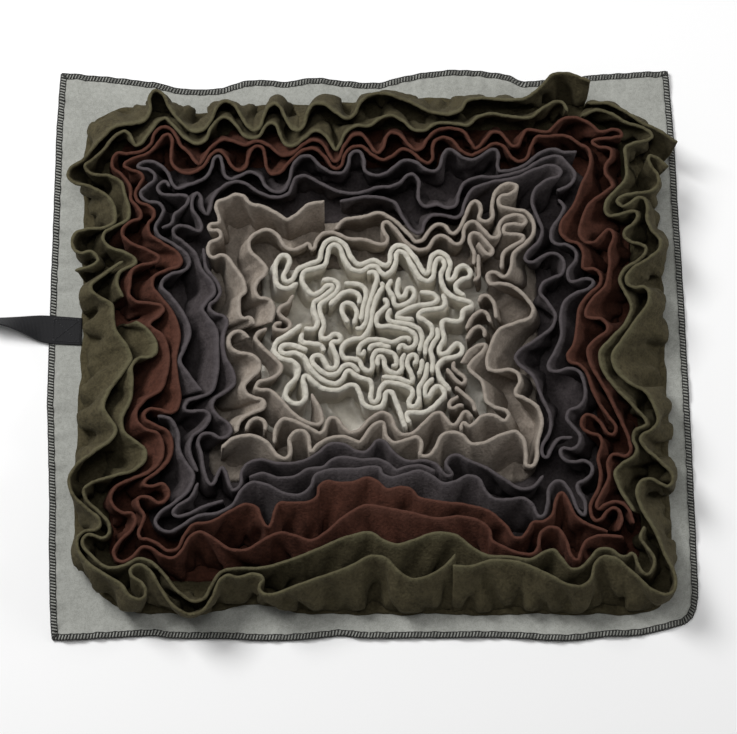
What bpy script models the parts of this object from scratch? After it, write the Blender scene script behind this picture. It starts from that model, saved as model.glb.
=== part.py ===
"""Snuffle mat: a felt base with ruffled fleece strips sewn on in nested rings.

Lengths in the tables are millimetres.  The frame is metres, +Z up, +X to the right and +Y
away, with the origin at the middle of the felt's underside.  Each strip stands on its own
seam line and rises to a rim that winds in folds; a table gives one row for each bend of the
rim.  Everything between is worked out: the spline through the bends, the gathered foot of
the strip on its seam, and the small shifts that keep neighbouring folds apart.
"""
import math

import bpy
import numpy as np

for leftover in list(bpy.data.objects):
    bpy.data.objects.remove(leftover, do_unlink=True)

MM = 0.001

# --- driving sizes, mm -----------------------------------------------------------------
FELT_THICKNESS = 2.0
FLEECE_THICKNESS = 3.2
PALE_FLEECE_THICKNESS = 4.0
SEAM_CLEARANCE = 0.3
RIM_HEIGHT_MIDDLE = 54.0
RIM_HEIGHT_EDGE = 50.0
FOLD_CLEARANCE = 0.75
BEND_CLEARANCE = 1.2
BEND_ROOM = 0.35

# outermost seam line, a rounded rectangle
SEAM_LEFT = -276.0
SEAM_RIGHT = 285.7
SEAM_NEAR = -258.8
SEAM_FAR = 248.0
SEAM_CORNER_RADIUS = 34.0
SEAM_FAR_LEFT_RADIUS = 46.0
SEAM_NEAR_LEFT_RADIUS = 48.0
SEAM_CORNER_LEAST = 14.0
SEAM_CORNER_SHRINK = 0.1
ROW_PITCH = 19.0

# how the foot of a strip follows its rim
FOOT_SMOOTHING = 40.0
FOOT_WAVE_SMOOTHING = 30.0
FOOT_WAVE_SHARE = 0.5
FOOT_LEAST_PROGRESS = 0.22
FOOT_OVERHANG = 5.0

# spacing of the sections along a strip
SECTION_TURN = 1.05
TIGHT_SECTION_TURN = 0.8
TIGHT_BEND = 6.0
SECTION_RUN = 34.0
RIM_STEP = 1.0
SEAM_STEP = 2.0

# easing of touching folds
EASE_ROUNDS = 90
EASE_RELIST = 10
EASE_LEVELS = (0.0, 0.2, 0.4, 0.6, 0.8, 1.0)
EASE_REACH = 7.0
EASE_SHARE = 0.5
BEND_SHARE = 0.4
STEEPEST_MITRE = 1.4
SAME_STRIP_ARC = 1.7

# --- felt base: the outline, one row for each wave of the edge ---------------------------
OUTLINE_COLUMNS = ("x_mm", "y_mm")
FELT_OUTLINE = {
    "far": (
        (-306, 281.5), (-290, 279.8), (-270, 277.8), (-250, 275.8), (-230, 273.5),
        (-215, 271.5), (-205, 269), (-195, 266.2), (-185, 264.6), (-170, 264), (-155, 264),
        (-145, 265.5), (-135, 269), (-125, 272), (-115, 273.6), (-100, 273.6), (-85, 272),
        (-75, 272.2), (-65, 274.5), (-55, 276), (-45, 275.6), (-30, 273.5), (-15, 271.5),
        (-5, 270.6), (10, 270.8), (20, 273), (30, 276), (45, 279.6), (60, 282.6), (80, 284),
        (100, 284), (115, 283), (130, 280.5), (140, 278.2), (148, 274.2), (155, 271.8),
        (165, 272.3), (182, 274.2), (200, 275.8), (215, 277.5), (230, 279.3), (250, 280.9),
        (270, 282), (285, 282.8),
    ),
    "right": (
        (296.5, 283), (297.5, 270), (299.5, 235), (301, 200), (302, 150), (303.5, 100),
        (305, 50), (306, 0), (307, -50), (308, -100), (308.6, -150), (309.2, -200),
        (309.6, -235), (309.2, -246), (307.6, -256), (303.5, -265),
    ),
    "near": (
        (297, -270.3), (285, -273.8), (270, -277.6), (255, -281), (240, -282.2), (225, -282.2),
        (210, -284), (195, -286), (180, -286.6), (165, -286), (150, -284.6), (130, -283.6),
        (110, -283.2), (80, -283.6), (50, -283.6), (20, -284.1), (0, -284.1), (-10, -283.6),
        (-22, -281.7), (-30, -281.7), (-45, -283.6), (-60, -285.2), (-80, -286.1),
        (-95, -286.2), (-110, -286), (-125, -284.7), (-140, -284.4), (-155, -284.2),
        (-175, -284.1), (-190, -283.6), (-200, -281.7), (-210, -281.6), (-225, -282.6),
        (-240, -283.6), (-255, -284.2), (-270, -285.5), (-285, -286),
    ),
    "left": (
        (-297, -285.5), (-298.6, -270), (-300, -250), (-302.3, -200), (-303.6, -150),
        (-306.3, -100), (-308.6, -60), (-309, 0), (-308.8, 60), (-308.5, 120), (-308.3, 180),
        (-308.2, 225),
    ),
}

# --- strap: webbing sewn across the left edge, one row for each station -------------------
# x, y: middle of the webbing; low, high: heights of its near and far edges above the floor
STRAP_COLUMNS = ("x_mm", "near_y_mm", "near_z_mm", "far_y_mm", "far_z_mm")
STRAP = (
    (-278.0, 0.6, 2.4, 28.0, 2.4),
    (-296.0, 1.4, 2.4, 29.4, 2.4),
    (-311.0, 2.6, 2.6, 30.4, 2.6),
    (-318.0, 4.2, 3.4, 30.6, 2.6),
    (-326.0, 7.0, 7.0, 30.2, 2.2),
    (-336.0, 10.8, 12.0, 29.4, 1.6),
    (-347.0, 14.4, 16.5, 28.6, 1.0),
    (-359.0, 17.0, 19.0, 28.0, 0.6),
    (-368.0, 18.2, 20.0, 27.8, 0.6),
)
STRAP_THICKNESS = 1.6

# --- finishes: name, red, green, blue, roughness -----------------------------------------
FINISH_COLUMNS = ("finish", "red", "green", "blue", "roughness")
FINISHES = (
    ("grey_felt", 0.34, 0.35, 0.33, 0.95),
    ("black_webbing", 0.014, 0.014, 0.015, 0.75),
    ("olive_fleece", 0.090, 0.080, 0.050, 0.95),
    ("rust_fleece", 0.200, 0.085, 0.075, 0.95),
    ("slate_fleece", 0.120, 0.125, 0.130, 0.95),
    ("taupe_fleece", 0.270, 0.235, 0.205, 0.95),
    ("pale_fleece", 0.560, 0.530, 0.480, 0.95),
)

# --- strips: name, rows in from the outermost seam, finish --------------------------------
# a strip without a row number stands upright in the middle, packed among its neighbours
STRIP_COLUMNS = ("strip", "seam_rows_in", "finish")
STRIPS = (
    ("olive_outer_corner", 0.3, "olive_fleece"),
    ("olive_outer_right", 0, "olive_fleece"),
    ("olive_outer_left", 0, "olive_fleece"),
    ("olive_outer_top", 0, "olive_fleece"),
    ("olive_inner_left", 1, "olive_fleece"),
    ("olive_inner_top", 1, "olive_fleece"),
    ("olive_inner_right", 1, "olive_fleece"),
    ("rust_outer", 2, "rust_fleece"),
    ("rust_inner", 3, "rust_fleece"),
    ("slate_outer_low", 4, "slate_fleece"),
    ("slate_outer_high", 4, "slate_fleece"),
    ("slate_loop", 4.35, "slate_fleece"),
    ("slate_mid_left", 5, "slate_fleece"),
    ("slate_mid_low", 5, "slate_fleece"),
    ("slate_mid_base", 5, "slate_fleece"),
    ("slate_inner_left", 6, "slate_fleece"),
    ("slate_inner_right", 6, "slate_fleece"),
    ("taupe_outer_left", 7, "taupe_fleece"),
    ("taupe_outer_right", 7, "taupe_fleece"),
    ("taupe_outer_low", 7, "taupe_fleece"),
    ("taupe_inner_left", 8, "taupe_fleece"),
    ("taupe_inner_low", 9.1, "taupe_fleece"),
    ("taupe_inner_base", 8, "taupe_fleece"),
    ("taupe_inner_right", 8, "taupe_fleece"),
    ("taupe_curl_left", None, "taupe_fleece"),
    ("taupe_arch_left", None, "taupe_fleece"),
    ("taupe_crook_right", None, "taupe_fleece"),
    ("taupe_slope_right", None, "taupe_fleece"),
    ("taupe_hook_right", None, "taupe_fleece"),
    ("taupe_peak_right", None, "taupe_fleece"),
    ("taupe_fan_right", None, "taupe_fleece"),
    ("taupe_hump_right", None, "taupe_fleece"),
    ("taupe_tongue_right", 8.8, "taupe_fleece"),
    ("taupe_stem_right", None, "taupe_fleece"),
    ("pale_outer_top", None, "pale_fleece"),
    ("pale_second", None, "pale_fleece"),
    ("pale_outer_low", None, "pale_fleece"),
    ("pale_second_low", None, "pale_fleece"),
    ("pale_low_right", None, "pale_fleece"),
    ("pale_centre_left", None, "pale_fleece"),
    ("pale_left_fold", None, "pale_fleece"),
    ("pale_top_arch", None, "pale_fleece"),
    ("pale_top_wave", None, "pale_fleece"),
    ("pale_eye", None, "pale_fleece"),
    ("pale_peak", None, "pale_fleece"),
    ("pale_long_fold", None, "pale_fleece"),
    ("pale_inner_wave", None, "pale_fleece"),
    ("pale_hook", None, "pale_fleece"),
    ("pale_hook_second", None, "pale_fleece"),
    ("pale_fold_right", None, "pale_fleece"),
    ("pale_face_right", None, "pale_fleece"),
    ("pale_band_right", None, "pale_fleece"),
    ("pale_low_wave", None, "pale_fleece"),
    ("pale_low_hook", None, "pale_fleece"),
    ("pale_low_crook", None, "pale_fleece"),
    ("pale_low_loop", None, "pale_fleece"),
    ("pale_low_strand", None, "pale_fleece"),
)

# some strips slide towards another seam row at one end
SEAM_SLIDE_COLUMNS = ("strip", "from_share_of_length", "towards_rows_in")
SEAM_SLIDES = (
    ("slate_outer_low", 0.90, 4.4),
    ("olive_outer_left", 0.95, 0.47),
    ("olive_outer_right", 0.76, 0.45),
)

# --- rims: where each strip's rim turns, one row for each bend ----------------------------
FOLD_COLUMNS = ("x_mm", "y_mm")
FOLDS = {}
FOLDS["olive_outer_corner"] = (
    (213, 233), (236, 231), (252, 221), (267, 211), (286, 202), (299, 193),
)
FOLDS["olive_outer_right"] = (
    (77, -223), (92, -224), (110, -218), (130, -218), (150, -224), (170, -233), (188, -242),
    (202, -240), (208, -229), (214, -216), (228, -216), (246, -231), (266, -248), (280, -250),
    (284, -237), (275, -214), (267, -194), (256, -174), (249, -155), (256, -142), (268, -143),
    (279, -149), (284, -140), (275, -127), (260, -113), (254, -102), (263, -96), (271, -88),
    (268, -71), (259, -56), (241, -46), (230, -31), (231, -18), (243, -2), (256, 17),
    (266, 33), (264, 45), (254, 46), (245, 50), (246, 60), (258, 71), (273, 79), (279, 90),
    (274, 101), (267, 110), (268, 124), (263, 136), (253, 132), (243, 127), (238, 133),
    (248, 139), (262, 141), (275, 145), (280, 156), (274, 166), (271, 178), (281, 176),
    (290, 168),
)
FOLDS["olive_outer_left"] = (
    (74.8, -220.6), (61, -229), (48, -236), (34, -234), (22, -222), (10, -214), (-4, -217),
    (-28, -229), (-60, -239), (-80, -248), (-95, -251), (-102, -244), (-98, -236),
    (-106, -231), (-122, -234), (-135, -233), (-143, -248), (-152, -264), (-165, -270),
    (-182, -260), (-196, -241), (-205, -226), (-216, -222), (-222, -229), (-216, -236),
    (-207, -243), (-209, -254), (-221, -252), (-231, -239), (-247, -231), (-264, -217),
    (-272, -203), (-266, -192), (-252, -189), (-251, -180), (-266, -167), (-279, -152),
    (-280, -137), (-266, -121), (-247, -109), (-237, -97), (-243, -84), (-249, -73),
    (-243, -54), (-229, -35), (-224, -22), (-236, -3), (-243, 12), (-243, 27), (-256, 36),
    (-265, 45), (-256, 55), (-246, 64), (-235, 71),
)
FOLDS["olive_outer_top"] = (
    (-281, 62), (-268, 67), (-259, 72), (-265, 81), (-279, 80), (-285, 91), (-279, 102),
    (-262, 104), (-246, 108), (-243, 120), (-250, 136), (-268, 147), (-287, 153), (-291, 162),
    (-284, 169), (-275, 177), (-266, 187), (-259, 196), (-250, 205), (-239, 210), (-224, 211),
    (-215, 216), (-212, 227), (-213, 240), (-208, 246), (-201, 242), (-195, 228), (-187, 217),
    (-178, 208), (-168, 201), (-157, 207), (-151, 221), (-142, 234), (-129, 228), (-121, 211),
    (-110, 203), (-104, 212), (-100, 225), (-91, 231), (-83, 222), (-77, 207), (-68, 203),
    (-62, 213), (-57, 228), (-45, 231), (-32, 222), (-20, 216), (-12, 224), (-5, 238),
    (12, 243), (32, 237), (52, 227), (72, 220), (87, 223), (98, 236), (122, 236), (148, 236),
    (165, 247), (178, 262), (192, 265), (216, 256),
)
FOLDS["olive_inner_left"] = (
    (256, -187), (252, -198), (260, -209), (265, -221), (258, -232), (250, -224), (245, -212),
    (236, -215), (224, -208), (211, -209), (203, -220), (191, -227), (181, -219), (171, -208),
    (160, -212), (148, -217), (126, -214), (104, -212), (88, -199), (72, -192), (52, -195),
    (32, -203), (17, -202), (4, -193), (-16, -195), (-48, -208), (-80, -221), (-105, -227),
    (-132, -228), (-144, -239), (-151, -254), (-164, -257), (-182, -243), (-197, -224),
    (-211, -217), (-224, -223), (-240, -226), (-256, -216), (-267, -202), (-260, -194),
    (-248, -198), (-241, -190), (-249, -176), (-264, -162), (-266, -150), (-248, -141),
    (-226, -136), (-210, -126), (-210, -112), (-226, -101), (-232, -89), (-226, -71),
    (-222, -53), (-224, -34), (-216, -24), (-202, -22), (-201, -10), (-212, 6), (-221, 12),
)
FOLDS["olive_inner_top"] = (
    (-234, 36), (-240, 50), (-236, 62), (-222, 70), (-231, 79), (-250, 87), (-255, 97),
    (-246, 105), (-232, 112), (-229, 122), (-234, 136), (-237, 150), (-248, 158), (-266, 160),
    (-275, 168), (-269, 174), (-260, 181), (-253, 190), (-244, 200), (-235, 203), (-229, 195),
    (-225, 188), (-217, 194), (-206, 210), (-197, 216), (-185, 203), (-171, 190), (-159, 192),
    (-152, 208), (-142, 217), (-130, 209), (-119, 195), (-108, 193), (-101, 206), (-92, 210),
    (-86, 198), (-78, 187), (-66, 193), (-52, 203), (-41, 197), (-32, 183), (-27, 195),
    (-16, 207), (2, 209), (16, 219), (28, 218), (40, 206), (52, 203), (66, 211), (82, 211),
    (96, 209), (108, 219), (124, 221), (146, 217), (160, 219), (173, 230), (186, 235),
    (193, 224),
)
FOLDS["olive_inner_right"] = (
    (205, 218), (218, 224), (233, 222), (247, 213), (264, 208), (275, 198), (262, 193),
    (248, 187), (248, 170), (246, 152), (232, 138), (226, 126), (231, 117), (246, 121),
    (257, 121), (254, 110), (244, 100), (251, 91), (265, 86), (262, 75), (247, 66), (239, 52),
    (246, 36), (249, 22), (238, 3), (220, -15), (218, -30), (231, -52), (252, -75), (261, -88),
    (250, -94), (247, -103), (250, -116), (238, -125), (229, -136), (235, -155), (246, -173),
)
FOLDS["rust_outer"] = (
    (236, -197), (222, -197), (206, -197), (198, -206), (194, -218), (188, -214), (183, -199),
    (175, -188), (163, -189), (158, -199), (156, -210), (146, -214), (130, -208), (115, -201),
    (112, -189), (102, -181), (84, -177), (62, -179), (40, -174), (18, -170), (2, -166),
    (-14, -171), (-32, -184), (-50, -199), (-66, -196), (-80, -192), (-96, -198), (-112, -208),
    (-130, -208), (-146, -197), (-158, -192), (-168, -198), (-174, -210), (-184, -217),
    (-196, -212), (-208, -206), (-220, -216), (-232, -220), (-237, -211), (-232, -201),
    (-222, -192), (-217, -182), (-221, -174), (-233, -173), (-241, -162), (-237, -150),
    (-224, -143), (-206, -136), (-195, -126), (-192, -112), (-198, -98), (-211, -93),
    (-219, -81), (-213, -68), (-201, -60), (-192, -50), (-190, -32), (-190, -14), (-197, 0),
    (-208, 8), (-198, 17), (-194, 25), (-206, 30), (-222, 32), (-229, 41), (-226, 54),
    (-223, 65), (-208, 69), (-200, 74), (-214, 84), (-231, 92), (-237, 102), (-229, 111),
    (-219, 115), (-221, 124), (-229, 133), (-230, 147), (-238, 158), (-248, 168), (-245, 180),
    (-230, 179), (-213, 184), (-208, 199), (-199, 207), (-189, 202), (-184, 189), (-178, 185),
    (-171, 176), (-163, 167), (-157, 177), (-148, 190), (-136, 194), (-122, 189), (-107, 193),
    (-94, 186), (-82, 177), (-72, 180), (-62, 190), (-51, 193), (-42, 186), (-36, 173),
    (-29, 172), (-24, 187), (-12, 199), (-2, 193), (7, 180), (14, 186), (19, 200), (28, 200),
    (37, 190), (46, 183), (54, 188), (60, 200), (74, 206), (89, 204), (98, 193), (104, 184),
    (110, 190), (117, 199), (125, 202), (133, 194), (141, 187), (147, 196), (154, 205),
    (166, 203), (177, 204), (185, 215), (200, 218), (214, 212), (224, 203), (240, 205),
    (245, 199), (232, 196), (216, 193), (222, 187), (233, 185), (233, 175), (227, 165),
    (230, 155), (234, 147), (222, 138), (209, 126), (203, 110), (201, 97), (208, 90),
    (218, 93), (229, 104), (234, 97), (229, 80), (229, 62), (224, 46), (212, 33), (205, 18),
    (211, 14), (221, 13), (226, 4), (214, -7), (206, -18), (210, -33), (221, -52), (232, -74),
    (240, -93), (246, -112), (240, -120), (229, -118), (223, -128), (223, -145), (214, -160),
    (212, -170), (222, -165), (234, -164), (243, -173), (247, -184),
)
FOLDS["rust_inner"] = (
    (222, -192), (208, -185), (196, -180), (188, -165), (181, -154), (175, -160), (172, -173),
    (165, -181), (152, -183), (145, -195), (136, -197), (126, -184), (112, -172), (90, -166),
    (66, -163), (48, -160), (42, -154), (34, -149), (16, -151), (7, -143), (-4, -140),
    (-20, -146), (-36, -143), (-46, -147), (-50, -160), (-68, -164), (-84, -164), (-89, -176),
    (-93, -187), (-99, -182), (-103, -170), (-113, -165), (-128, -171), (-148, -182),
    (-164, -185), (-172, -196), (-180, -209), (-190, -209), (-201, -200), (-213, -198),
    (-213, -188), (-209, -179), (-214, -169), (-215, -160), (-206, -159), (-194, -165),
    (-186, -157), (-191, -147), (-202, -149), (-210, -147), (-205, -140), (-195, -134),
    (-187, -124), (-184, -110), (-188, -97), (-200, -90), (-211, -83), (-207, -75),
    (-195, -75), (-184, -78), (-178, -68), (-179, -50), (-183, -32), (-180, -14), (-180, 2),
    (-186, 17), (-196, 32), (-206, 44), (-205, 55), (-192, 63), (-179, 68), (-181, 79),
    (-195, 89), (-209, 100), (-211, 110), (-205, 119), (-209, 127), (-220, 131), (-224, 140),
    (-220, 149), (-217, 157), (-226, 163), (-237, 168), (-234, 175), (-221, 179), (-209, 186),
    (-202, 197), (-195, 201), (-190, 193), (-192, 178), (-188, 165), (-178, 160), (-166, 162),
    (-158, 172), (-150, 182), (-141, 180), (-134, 168), (-125, 162), (-118, 168), (-115, 182),
    (-108, 189), (-101, 184), (-100, 170), (-95, 159), (-86, 161), (-77, 172), (-66, 183),
    (-52, 185), (-42, 177), (-34, 165), (-27, 168), (-22, 182), (-12, 188), (-2, 184),
    (8, 175), (18, 174), (28, 182), (36, 184), (46, 178), (56, 170), (62, 176), (62, 189),
    (70, 197), (79, 195), (88, 184), (98, 178), (108, 182), (117, 189), (127, 190), (135, 181),
    (143, 172), (152, 174), (157, 186), (162, 197), (174, 198), (188, 199), (200, 192),
    (211, 186), (214, 175), (208, 157), (202, 142), (197, 129), (188, 116), (182, 104),
    (188, 93), (200, 89), (205, 77), (204, 65), (214, 64), (221, 57), (218, 46), (207, 37),
    (199, 24), (197, 8), (194, -10), (187, -22), (190, -29), (200, -32), (206, -43),
    (212, -60), (222, -77), (232, -92), (228, -99), (221, -94), (213, -82), (203, -80),
    (199, -90), (207, -97), (217, -101), (217, -113), (214, -127), (217, -141), (211, -157),
    (206, -172), (210, -182), (218, -179), (224, -171), (232, -171), (236, -181), (232, -191),
)
FOLDS["slate_outer_low"] = (
    (-199, -81), (-188, -83), (-181, -92), (-177, -106), (-176, -119), (-168, -130),
    (-163, -140), (-167, -152), (-178, -163), (-191, -171), (-199, -181), (-194, -190),
    (-182, -192), (-171, -184), (-158, -177), (-143, -175), (-130, -169), (-122, -156),
    (-114, -146), (-103, -144), (-92, -149), (-78, -155), (-64, -156), (-55, -149),
    (-50, -137), (-38, -133), (-18, -132), (0, -131), (9, -130), (14, -138), (26, -140),
    (40, -134), (54, -135), (64, -143), (75, -146), (88, -139), (100, -139), (107, -148),
    (113, -158), (128, -161), (142, -159), (152, -165), (158, -177), (164, -174), (167, -160),
    (169, -148), (177, -143), (185, -150), (190, -163), (198, -177), (201, -166), (194, -153),
    (195, -146), (205, -141), (209, -131), (201, -124), (188, -126), (180, -121), (180, -113),
    (191, -113), (198, -105), (195, -95), (186, -86), (188, -76), (200, -70), (203, -58),
    (201, -43), (193, -35), (178, -38), (169, -36), (171, -26), (178, -14), (182, 0),
    (181, 17), (185, 30), (196, 39), (208, 43), (214, 51), (205, 54), (193, 51), (189, 60),
    (196, 70), (198, 80), (188, 88), (176, 90), (174, 101), (181, 113), (187, 125), (182, 133),
)
FOLDS["slate_outer_high"] = (
    (-157, -57), (-163, -48), (-172, -38), (-178, -28), (-174, -16), (-169, -4), (-172, 9),
    (-180, 26), (-190, 38), (-198, 48), (-190, 58), (-176, 62), (-171, 72), (-181, 84),
    (-195, 92), (-205, 101), (-203, 112), (-198, 121), (-203, 129), (-217, 132), (-222, 141),
    (-213, 149), (-207, 157), (-213, 164), (-224, 167), (-216, 172), (-203, 169), (-193, 158),
    (-187, 145), (-177, 146), (-163, 153), (-153, 160), (-151, 172), (-145, 177), (-141, 166),
    (-136, 154), (-127, 155), (-116, 161), (-106, 157), (-99, 145), (-88, 140), (-79, 145),
    (-76, 160), (-71, 173), (-61, 179), (-52, 173), (-42, 164), (-28, 160), (-21, 168),
    (-19, 179), (-11, 183), (-5, 174), (-3, 161), (8, 158), (20, 161), (31, 172), (43, 172),
    (56, 163), (67, 164), (70, 176), (77, 186), (86, 181), (94, 176), (106, 178), (117, 186),
    (125, 183), (124, 170), (127, 161), (140, 163), (154, 170), (165, 180), (180, 185),
    (190, 181), (201, 182),
)
FOLDS["slate_loop"] = (
    (-192, 146), (-197, 152), (-204, 147), (-201, 140), (-188, 138), (-174, 136), (-176, 127),
    (-186, 120), (-189, 110), (-199, 105),
)
FOLDS["slate_mid_left"] = (
    (-160, -135), (-165, -121), (-168, -108), (-163, -98), (-151, -89), (-150, -78),
    (-162, -77), (-173, -75), (-169, -66), (-152, -61), (-144, -50), (-143, -28), (-142, -8),
    (-146, 8), (-157, 22), (-150, 33), (-145, 42), (-152, 54), (-161, 66), (-166, 80),
    (-179, 92), (-188, 101), (-181, 108), (-170, 104), (-161, 102), (-162, 112), (-169, 122),
    (-169, 134), (-164, 139), (-161, 127), (-155, 118), (-152, 129), (-146, 141), (-134, 150),
    (-122, 151), (-112, 143), (-98, 138), (-84, 136), (-75, 142), (-73, 153), (-65, 158),
    (-52, 153), (-38, 144), (-20, 140), (-4, 140), (10, 146), (26, 147), (35, 156), (43, 158),
    (49, 149), (47, 135), (53, 126), (66, 127), (78, 124), (85, 130), (88, 145), (98, 155),
    (116, 157), (136, 160), (154, 167), (172, 177), (184, 178), (193, 169), (199, 156),
    (192, 147), (181, 142),
)
FOLDS["slate_mid_low"] = (
    (-160, -146), (-167, -160), (-181, -170), (-182, -177), (-172, -177), (-158, -170),
    (-146, -167), (-136, -163),
)
FOLDS["slate_mid_base"] = (
    (-112, -140), (-101, -136), (-86, -140), (-72, -140), (-58, -132), (-41, -129),
    (-34, -122), (-20, -121), (-4, -123), (10, -123), (19, -127), (26, -133), (38, -129),
    (52, -129), (62, -134),
)
FOLDS["slate_inner_left"] = (
    (-157, 84), (-156, 70), (-150, 57), (-142, 46), (-143, 35), (-152, 27), (-146, 19),
    (-135, 14), (-137, 0), (-137, -14), (-134, -28), (-127, -40), (-127, -52), (-137, -60),
    (-147, -68), (-144, -79), (-132, -88), (-129, -98), (-138, -103), (-148, -98),
    (-158, -100), (-160, -110), (-155, -122), (-153, -138), (-147, -148), (-142, -138),
    (-137, -131), (-132, -142), (-127, -153), (-119, -147), (-119, -134), (-111, -125),
    (-99, -123), (-84, -126), (-68, -125), (-52, -120), (-44, -112), (-34, -107), (-20, -109),
    (-8, -116), (1, -113), (6, -105), (14, -105), (24, -117), (38, -125), (55, -124),
    (65, -129), (72, -138), (78, -137), (72, -128), (76, -120), (86, -119), (97, -127),
    (112, -132), (124, -140), (134, -147), (146, -152), (157, -147), (163, -139),
)
FOLDS["slate_inner_right"] = (
    (-28, 131), (-14, 135), (2, 134), (20, 133), (29, 123), (35, 110), (43, 100), (50, 99),
    (54, 110), (63, 117), (76, 116), (87, 115), (91, 126), (96, 140), (107, 149), (124, 153),
    (146, 159), (166, 168), (180, 169), (186, 161), (176, 156), (164, 149), (157, 136),
    (159, 120), (166, 106), (163, 92), (153, 82), (149, 72), (158, 70), (169, 78), (181, 78),
    (187, 68), (183, 57), (169, 52), (163, 41), (171, 29), (178, 15), (172, 4), (158, -7),
    (144, -16), (138, -26), (147, -35), (157, -47), (163, -65), (171, -85), (169, -100),
    (162, -115), (166, -122), (172, -112), (180, -103), (191, -102),
)
FOLDS["taupe_outer_left"] = (
    (-108, 8), (-112, 15), (-119, 14), (-122, 24), (-123, 34), (-117, 41), (-119, 50),
    (-126, 61), (-132, 71), (-140, 78), (-150, 75), (-155, 82), (-152, 91), (-143, 95),
    (-144, 102), (-153, 103), (-153, 108), (-144, 111), (-146, 121), (-147, 130), (-138, 134),
    (-130, 139), (-121, 137), (-115, 130), (-103, 127), (-90, 121), (-80, 113), (-71, 117),
    (-62, 126), (-52, 131), (-43, 132),
)
FOLDS["taupe_outer_right"] = (
    (-33, 100), (-28, 108), (-16, 112), (0, 116), (11, 119), (24, 112), (36, 100), (46, 90),
    (54, 95), (62, 106), (72, 107), (80, 98), (87, 103), (91, 112), (96, 125), (102, 132),
    (108, 126), (106, 114), (113, 111), (119, 116), (119, 130), (123, 143), (134, 151),
    (143, 148), (138, 141), (126, 137), (125, 129), (137, 124), (151, 121), (158, 108),
    (154, 94), (144, 86), (136, 76), (134, 62), (128, 55), (118, 60), (112, 57), (115, 48),
    (128, 49), (142, 42), (154, 28), (155, 18), (142, 11), (125, 5), (117, -8), (111, -24),
    (113, -37), (126, -36), (138, -38), (142, -48), (138, -60), (152, -67), (162, -79),
    (161, -97), (157, -113), (156, -127), (148, -129), (147, -112), (142, -99), (133, -96),
    (115, -104), (98, -108), (90, -101), (82, -96), (70, -98), (64, -108), (58, -118),
    (48, -118), (50, -108), (45, -101), (33, -104), (22, -106), (15, -97), (14, -87), (6, -88),
    (-3, -98), (-9, -106), (-20, -101), (-36, -103), (-48, -108), (-54, -115), (-56, -104),
    (-60, -96), (-70, -97), (-75, -105), (-73, -117), (-80, -123), (-89, -115), (-99, -104),
    (-112, -100), (-128, -103), (-138, -112),
)
FOLDS["taupe_outer_low"] = (
    (-124, -97), (-121, -87), (-110, -79), (-98, -74), (-99, -66), (-110, -63), (-117, -55),
    (-112, -46), (-103, -37), (-103, -28), (-112, -21), (-124, -19), (-132, -11), (-129, -1),
    (-120, 1), (-113, -5),
)
FOLDS["taupe_inner_left"] = (
    (-92, 10), (-89, 22), (-94, 33), (-103, 34), (-108, 43), (-104, 53), (-97, 60), (-101, 69),
    (-110, 77), (-115, 86), (-112, 95), (-104, 101), (-95, 102), (-88, 97), (-82, 88),
    (-76, 82), (-66, 83), (-58, 88), (-54, 82), (-51, 90), (-45, 97), (-37, 99), (-27, 95),
    (-17, 92), (-5, 92), (6, 89), (15, 88), (18, 95), (13, 103), (15, 111), (23, 106),
    (32, 94), (42, 85), (52, 82), (59, 87), (65, 96), (73, 96), (80, 89), (88, 89), (91, 98),
    (92, 107), (100, 111), (107, 106), (113, 99), (120, 94), (126, 98), (125, 107), (133, 116),
    (147, 117), (151, 110), (140, 109), (131, 107), (130, 99), (143, 98), (149, 94), (143, 89),
    (131, 82), (127, 72), (126, 63),
)
FOLDS["taupe_inner_low"] = (
    (-97, 4), (-107, -3), (-99, -14), (-87, -24), (-81, -35), (-90, -44), (-103, -48),
    (-106, -55), (-94, -56), (-84, -64), (-76, -75), (-62, -84), (-50, -90), (-43, -85),
    (-49, -72), (-54, -60),
)
FOLDS["taupe_inner_base"] = (
    (-89, -108), (-88, -94), (-80, -84), (-69, -87), (-57, -92), (-46, -98), (-41, -91),
    (-37, -83), (-30, -84), (-23, -93), (-14, -97), (-6, -90), (3, -82), (14, -77), (22, -83),
    (26, -95), (35, -99), (46, -94), (55, -84), (66, -77), (73, -84), (79, -90), (85, -84),
    (90, -77), (97, -83),
)
FOLDS["taupe_inner_right"] = (
    (86, -96), (88, -88), (95, -91), (101, -85), (109, -80), (119, -81), (127, -86),
    (131, -79), (124, -74), (113, -71), (108, -62), (108, -52), (101, -42), (93, -34),
    (98, -26), (106, -18), (109, -11), (99, -14), (90, -22), (86, -30),
)
FOLDS["taupe_curl_left"] = (
    (-72, 37), (-74, 32), (-80, 27.5), (-86, 22.5), (-84, 17), (-78, 13), (-74, 8), (-76, 3.2),
    (-83, 1.6), (-89.5, 4.2), (-88.5, 9), (-83, 10.2),
)
FOLDS["taupe_arch_left"] = (
    (-115.5, -95), (-113, -88.5), (-107.5, -84), (-101, -84.5), (-97, -89.5), (-97.5, -95.5),
)
FOLDS["taupe_crook_right"] = (
    (73.5, -35.5), (78, -40.5), (82.5, -46), (86.5, -50), (90.3, -49), (90.5, -45), (87, -41),
    (82.5, -37.5), (79.5, -33.5), (80.5, -29),
)
FOLDS["taupe_slope_right"] = (
    (81.5, -53.5), (86.5, -57.5), (91.5, -62.5), (96.5, -67), (99.5, -73), (100, -77),
)
FOLDS["taupe_hook_right"] = (
    (84, -62.5), (80, -65.5), (76, -68.5), (75.8, -72.8), (80, -74), (85, -71), (89, -71.5),
)
FOLDS["taupe_peak_right"] = (
    (104, 30.5), (106, 35), (110.5, 37), (115.5, 34.5), (118.5, 28.5), (120.5, 21.5),
    (121, 14.5),
)
FOLDS["taupe_fan_right"] = (
    (92, 4), (94.5, 9.5), (98.5, 15), (102.5, 20), (108.5, 21.5), (113, 17.5), (115, 10.5),
)
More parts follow.
